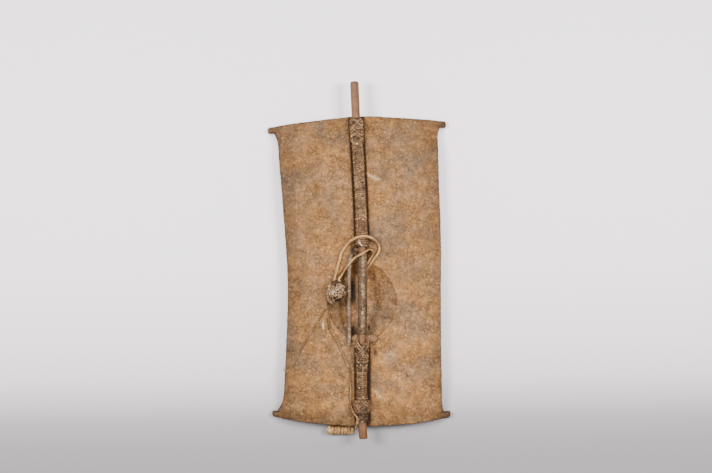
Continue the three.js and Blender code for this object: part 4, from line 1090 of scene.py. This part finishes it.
# ------------------------------------------------------------------ grip and side strap
def grip_piece():
    y0, y1 = -184.0, 19.0
    ys = np.concatenate([[y0, y0 + 0.5], np.linspace(y0 + 1.5, y1 - 1.5, 150), [y1 - 0.5, y1]])
    sides = 36
    th = np.arange(sides) * TAU / sides
    Y, T = np.meshgrid(ys, th, indexing="ij")
    r = 11.1 + 0.25 * fbm(np.cos(T) * 1.4, np.sin(T) * 1.4, Y / 34, 3, 301) + 0.12 * np.sin(Y / 1.7 + 2 * vnoise(Y / 12, T, 0, 302))
    r = r * (1 - 0.05 * np.cos(2 * T))
    edge = np.minimum(Y - y0, y1 - Y)
    r = r - 0.9 * np.exp(-edge / 1.2) + 0.35 * np.exp(-((edge - 4) / 1.6) ** 2)
    p = np.stack([stick_x(Y) + r * np.sin(T), Y, stick_z(Y) + r * np.cos(T)], -1).reshape(-1, 3)
    n = len(ys)
    i = np.arange(n - 1)[:, None] * sides
    j = np.arange(sides)[None]
    j2 = (j + 1) % sides
    b = Build()
    caps = np.array([[stick_x(y0), y0, stick_z(y0)], [stick_x(y1), y1, stick_z(y1)]])
    tone = 0.15 * fbm(p[:, 0] / 18, p[:, 1] / 40, 0, 3, 303)
    b.add(np.vstack([p, caps]), [
        np.stack([i + j, i + sides + j, i + sides + j2, i + j2], -1).reshape(-1, 4),
        np.stack([np.full(sides, n * sides), j[0], j2[0]], -1),
        np.stack([np.full(sides, n * sides + 1), (n - 1) * sides + j2[0], (n - 1) * sides + j[0]], -1)], np.concatenate([tone, [0, 0]]))
    grip = b.make("grip_leather", MAT_GRIP, ("grip_cover",))
    # the lacing that closes it, plaited along the top
    b = Build()
    n = 620
    y = np.linspace(y0 + 2, y1 - 2, n)
    for k in range(3):
        ph = y / 11.0 * TAU / 1.0 + k * TAU / 3
        off = 3.3 * np.sin(ph) + 0.5 * vnoise(y / 20, k, 0, 311)
        h = 11.4 + 0.9 * np.cos(2 * ph)
        path = np.stack([stick_x(y) + off + 0.6, y, stick_z(y) + np.sqrt(np.maximum(0, h ** 2 - off ** 2)) + 0.2], 1)
        b.sweep(path, 3.0, 1.9, 7, flat_up=(0, 0, 1), power=2.3, rough=0.06, seed=312 + k, tone=0.10 + 0.35 * vnoise(y / 4.0, k, 0, 315))
    lace = b.make("grip_lacing", MAT_BRAID)
    return grip, lace


grip, lacing = grip_piece()

STRAP = [(-18.6, 15.5), (-21.4, 8), (-24, -6), (-26, -45), (-27, -99), (-27.3, -150), (-28, -190), (-28.6, -213)]


def strap_piece():
    pts = []
    for i, (x, y) in enumerate(STRAP):
        z = max(float(back_z(x, y)), BACK_Z - 1) + 5 + 1.2 + (1.5 if 1 < i < 6 else 0)
        pts.append((x, y, z))
    n = 300
    path = catmull(pts, n)
    t = np.linspace(0, 1, n)
    sides = 22
    tt, side, up = frames(path)
    th = np.arange(sides) * TAU / sides
    b = Build()
    # a strip rolled on itself: the free edge makes a step along the top left
    T = th[None, :] + 0.25 * vnoise(t * 6, 0, 0, 321)[:, None]
    base = 4.75 + 0.30 * fbm(np.cos(th)[None] * 1.2, np.sin(th)[None] * 1.2, (t * 9)[:, None], 3, 322)
    step = 0.75 * smooth(2.0, 2.35, np.mod(T, TAU)) * smooth(5.4, 3.2, np.mod(T, TAU))
    r = (base + step - 0.35) * (1 - 0.30 * smooth(0.012, 0, t) - 0.30 * smooth(0.988, 1, t))[:, None]
    p = path[:, None] + r[:, :, None] * (np.cos(th)[None, :, None] * side[:, None] * 1.04 + np.sin(th)[None, :, None] * up[:, None])
    i = np.arange(n - 1)[:, None] * sides
    j = np.arange(sides)[None]
    j2 = (j + 1) % sides
    v = np.vstack([p.reshape(-1, 3), path[0] - tt[0] * 1.2, path[-1] + tt[-1] * 1.2])
    # painted light: the top of the roll is lighter, its underside darker, and its ends darker
    tone = np.concatenate([(0.12 * vnoise(t * 14, 0, 0, 323)[:, None] + 0.25 * smooth(0.2, 1, np.sin(th))[None] - 0.25 * smooth(0.2, -0.6, np.sin(th))[None]).ravel(), [-0.4, -0.4]])
    b.add(v, [np.stack([i + j, i + j2, i + sides + j2, i + sides + j], -1).reshape(-1, 4),
              np.stack([np.full(sides, n * sides), j2[0], j[0]], -1),
              np.stack([np.full(sides, n * sides + 1), (n - 1) * sides + j[0], (n - 1) * sides + j2[0]], -1)], tone)
    return b.make("side_strap_roll", MAT_STRAP, ("side_strap",))


strap = strap_piece()

# ------------------------------------------------------------------ knob
KX, KY, KZ, KRX, KRY, KRZ, KTURN = -60.0, -78.5, 62.0, 25.5, 31.0, 20.5, -0.35


def knob_shell(d, grow=0.0):
    """Point of the knob's outer form in direction d (unit, in its own axes)."""
    lobes = 1 + 0.05 * np.sin(3 * np.arctan2(d[:, 1], d[:, 0])) * np.hypot(d[:, 0], d[:, 1])
    p = d * np.stack([(KRX + grow) * lobes, (KRY + grow) * lobes, np.full(len(d), KRZ + grow)], 1)
    c, s = math.cos(KTURN), math.sin(KTURN)
    return np.stack([p[:, 0] * c - p[:, 1] * s + KX, p[:, 0] * s + p[:, 1] * c + KY, p[:, 2] + KZ], 1)


def knob_piece():
    b = Build()
    # painted shade: the core is dark, and shows only in the gaps between the strands
    b.blob((KX, KY, KZ), (2 * KRX - 8, 2 * KRY - 8, 2 * KRZ - 8), 30, 22, 0.06, 331, KTURN, -0.9, 2.2)
    rng = np.random.default_rng(23)
    # crowded strands of the knot: rings tilted every way, sunk and raised in turn
    for k in range(15):
        a = rng.normal(size=3)
        a /= np.linalg.norm(a)
        u = np.cross(a, rng.normal(size=3))
        u /= np.linalg.norm(u)
        w = np.cross(a, u)
        off = rng.uniform(-0.62, 0.62)
        n = 76
        t = np.arange(n) * TAU / n
        rr = math.sqrt(1 - off * off)
        d = off * a + rr * (np.cos(t)[:, None] * u + np.sin(t)[:, None] * w)
        d = d + 0.05 * np.stack([vnoise(np.cos(t) * 1.5 + i, np.sin(t) * 1.5, k, 340 + k) for i in range(3)], 1)
        d /= np.linalg.norm(d, axis=1)[:, None]
        lift = -2.6 + 1.5 * np.sin((2 + k % 3) * t + k) + 0.5 * rng.uniform(-1, 1)
        p = knob_shell(d) + 0
        c = np.array([KX, KY, KZ])
        v = p - c
        p = c + v * (1 + lift / np.linalg.norm(v, axis=1))[:, None]
        # painted shade: sunk strands are darker and raised ones lighter, following their lift
        b.sweep(p, 5.2, 2.8, 8, flat_up=v / np.linalg.norm(v, axis=1)[:, None], power=2.5, rough=0.08, seed=350 + k,
                tone=-0.22 + 0.35 * vnoise(np.cos(t) * 2, np.sin(t) * 2, k, 361) + 0.16 * (lift + 2.6), closed=True, cap=False)
    # small loops of finer thong over the upper side
    for k in range(34):
        ang = rng.uniform(0, TAU)
        rad = math.sqrt(rng.uniform(0.0, 0.80))
        d0 = np.array([rad * math.cos(ang), rad * math.sin(ang), math.sqrt(max(0.02, 1 - rad * rad))])
        e1 = np.cross(d0, (0.2, 1, 0.1))
        e1 /= np.linalg.norm(e1)
        e2 = np.cross(d0, e1)
        q = rng.uniform(0, math.pi)
        ru, rv = rng.uniform(0.16, 0.27), rng.uniform(0.09, 0.14)
        n = 26
        t = np.arange(n) * TAU / n
        cx, cy = ru * np.cos(t), rv * np.sin(t)
        d = d0 + (cx * math.cos(q) - cy * math.sin(q))[:, None] * e1 + (cx * math.sin(q) + cy * math.cos(q))[:, None] * e2
        d /= np.linalg.norm(d, axis=1)[:, None]
        p = knob_shell(d, -0.2 + 0.5 * rng.uniform(-1, 1))
        v = p - np.array([KX, KY, KZ])
        b.sweep(p, 2.2, 1.8, 6, flat_up=v / np.linalg.norm(v, axis=1)[:, None], rough=0.08, seed=380 + k, tone=rng.uniform(-0.1, 0.5), closed=True, cap=False)
    # frayed ends
    for k in range(16):
        ang = rng.uniform(0, TAU)
        d0 = np.array([math.cos(ang), math.sin(ang), rng.uniform(-0.2, 0.35)])
        d0 /= np.linalg.norm(d0)
        p0 = knob_shell(d0[None], -2)[0]
        out = p0 - np.array([KX, KY, KZ])
        out /= np.linalg.norm(out)
        side = np.cross(out, (0, 0, 1))
        bend = rng.uniform(-1, 1)
        t = np.linspace(0, 1, 8)[:, None]
        p = p0 + out * t * rng.uniform(2.2, 4.4) + side * bend * t ** 2 * 3.2 + np.array([0, 0, -1]) * t ** 2 * 1.0
        b.sweep(p, np.linspace(1.9, 0.9, 8), np.linspace(1.4, 0.7, 8), 6, tone=rng.uniform(-0.3, 0.3))
    return b.make("knob_knot", MAT_KNOB, ("knob",))


knob = knob_piece()

# ------------------------------------------------------------------ wound end
WOUND_X0, WOUND_X1, WOUND_Y, WOUND_R, WOUND_TURNS = -85.0, -18.5, -428.6, 12.3, 7


def wound_piece():
    b = Build()
    n = 40
    x = np.linspace(WOUND_X0 + 2.5, WOUND_X1 - 2.5, n)
    # painted shade: the core under the wound strip is dark, and shows only in the gaps between the turns
    b.sweep(np.stack([x, np.full(n, WOUND_Y), np.full(n, 11.9)], 1), 19.0, 19.0, 18, rough=0.03, seed=401, tone=-0.9)
    pitch = (WOUND_X1 - WOUND_X0 - 8.6) / WOUND_TURNS
    per = 60
    n = int(per * (WOUND_TURNS + 0.55))
    t = np.linspace(0, (WOUND_TURNS + 0.55) * TAU, n)
    x = WOUND_X1 - 4.6 - pitch * np.minimum(t / TAU, WOUND_TURNS) + 0.5 * vnoise(t / 3.0, 0, 0, 402)
    r = 10.7 + 0.30 * vnoise(t / 2.0, 1, 0, 403) - 0.9 * smooth(WOUND_TURNS - 0.2, WOUND_TURNS + 0.5, t / TAU)
    a = t + 0.9
    p = np.stack([x, WOUND_Y + r * np.cos(a), 11.9 + r * np.sin(a) * 0.97], 1)
    up = p - np.stack([x, np.full(n, WOUND_Y), np.full(n, 11.9)], 1)
    up /= np.linalg.norm(up, axis=1)[:, None]
    b.sweep(p, (pitch - 0.5) * (1 + 0.06 * vnoise(t / 1.5, 2, 0, 404)), 2.5, 10, flat_up=up, power=2.4, rough=0.05, seed=405, tone=0.1 + 0.28 * vnoise(t / 2.2, 4, 0, 406))
    # the tucked end of the strip
    q = catmull([(-84.5, -423.0, 22.0), (-86.0, -426.5, 21.5), (-86.6, -431.5, 19.0), (-85.2, -436.0, 15.0)], 24)
    b.sweep(q, 4.4, 2.0, 8, tone=0.1)
    return b.make("wound_thong", MAT_WOUND, ("wound_end",))


wound = wound_piece()

# ------------------------------------------------------------------ the surface it lies on
floor_mesh = bpy.data.meshes.new("floor")
floor_mesh.from_pydata([(-6, -6, 0), (6, -6, 0), (6, 6, 0), (-6, 6, 0)], [], [(0, 1, 2, 3)])
floor = bpy.data.objects.new("floor", floor_mesh)
bpy.context.scene.collection.objects.link(floor)
FLOOR = Nodes("floor_paper_painted_falloff")
across = FLOOR.axis(1)
fall = FLOOR.new("ShaderNodeMapRange")
fall.inputs["From Min"].default_value = -0.52
fall.inputs["From Max"].default_value = 0.0
FLOOR.link(across, fall.inputs["Value"])
# painted shade: the paper's colour darkens towards -Y, standing in for the fall-off of light along the backdrop's sweep
paper = FLOOR.ramp(fall.outputs["Result"], [(0.0, (0.235, 0.222, 0.229)), (0.10, (0.25, 0.235, 0.243)), (0.22, (0.305, 0.285, 0.295)), (0.335, (0.47, 0.435, 0.45)),
                                            (0.42, (0.60, 0.555, 0.575)), (0.58, (0.72, 0.66, 0.69)), (1.0, (0.86, 0.79, 0.825))])
floor_mesh.materials.append(FLOOR.finish(paper, 0.9))
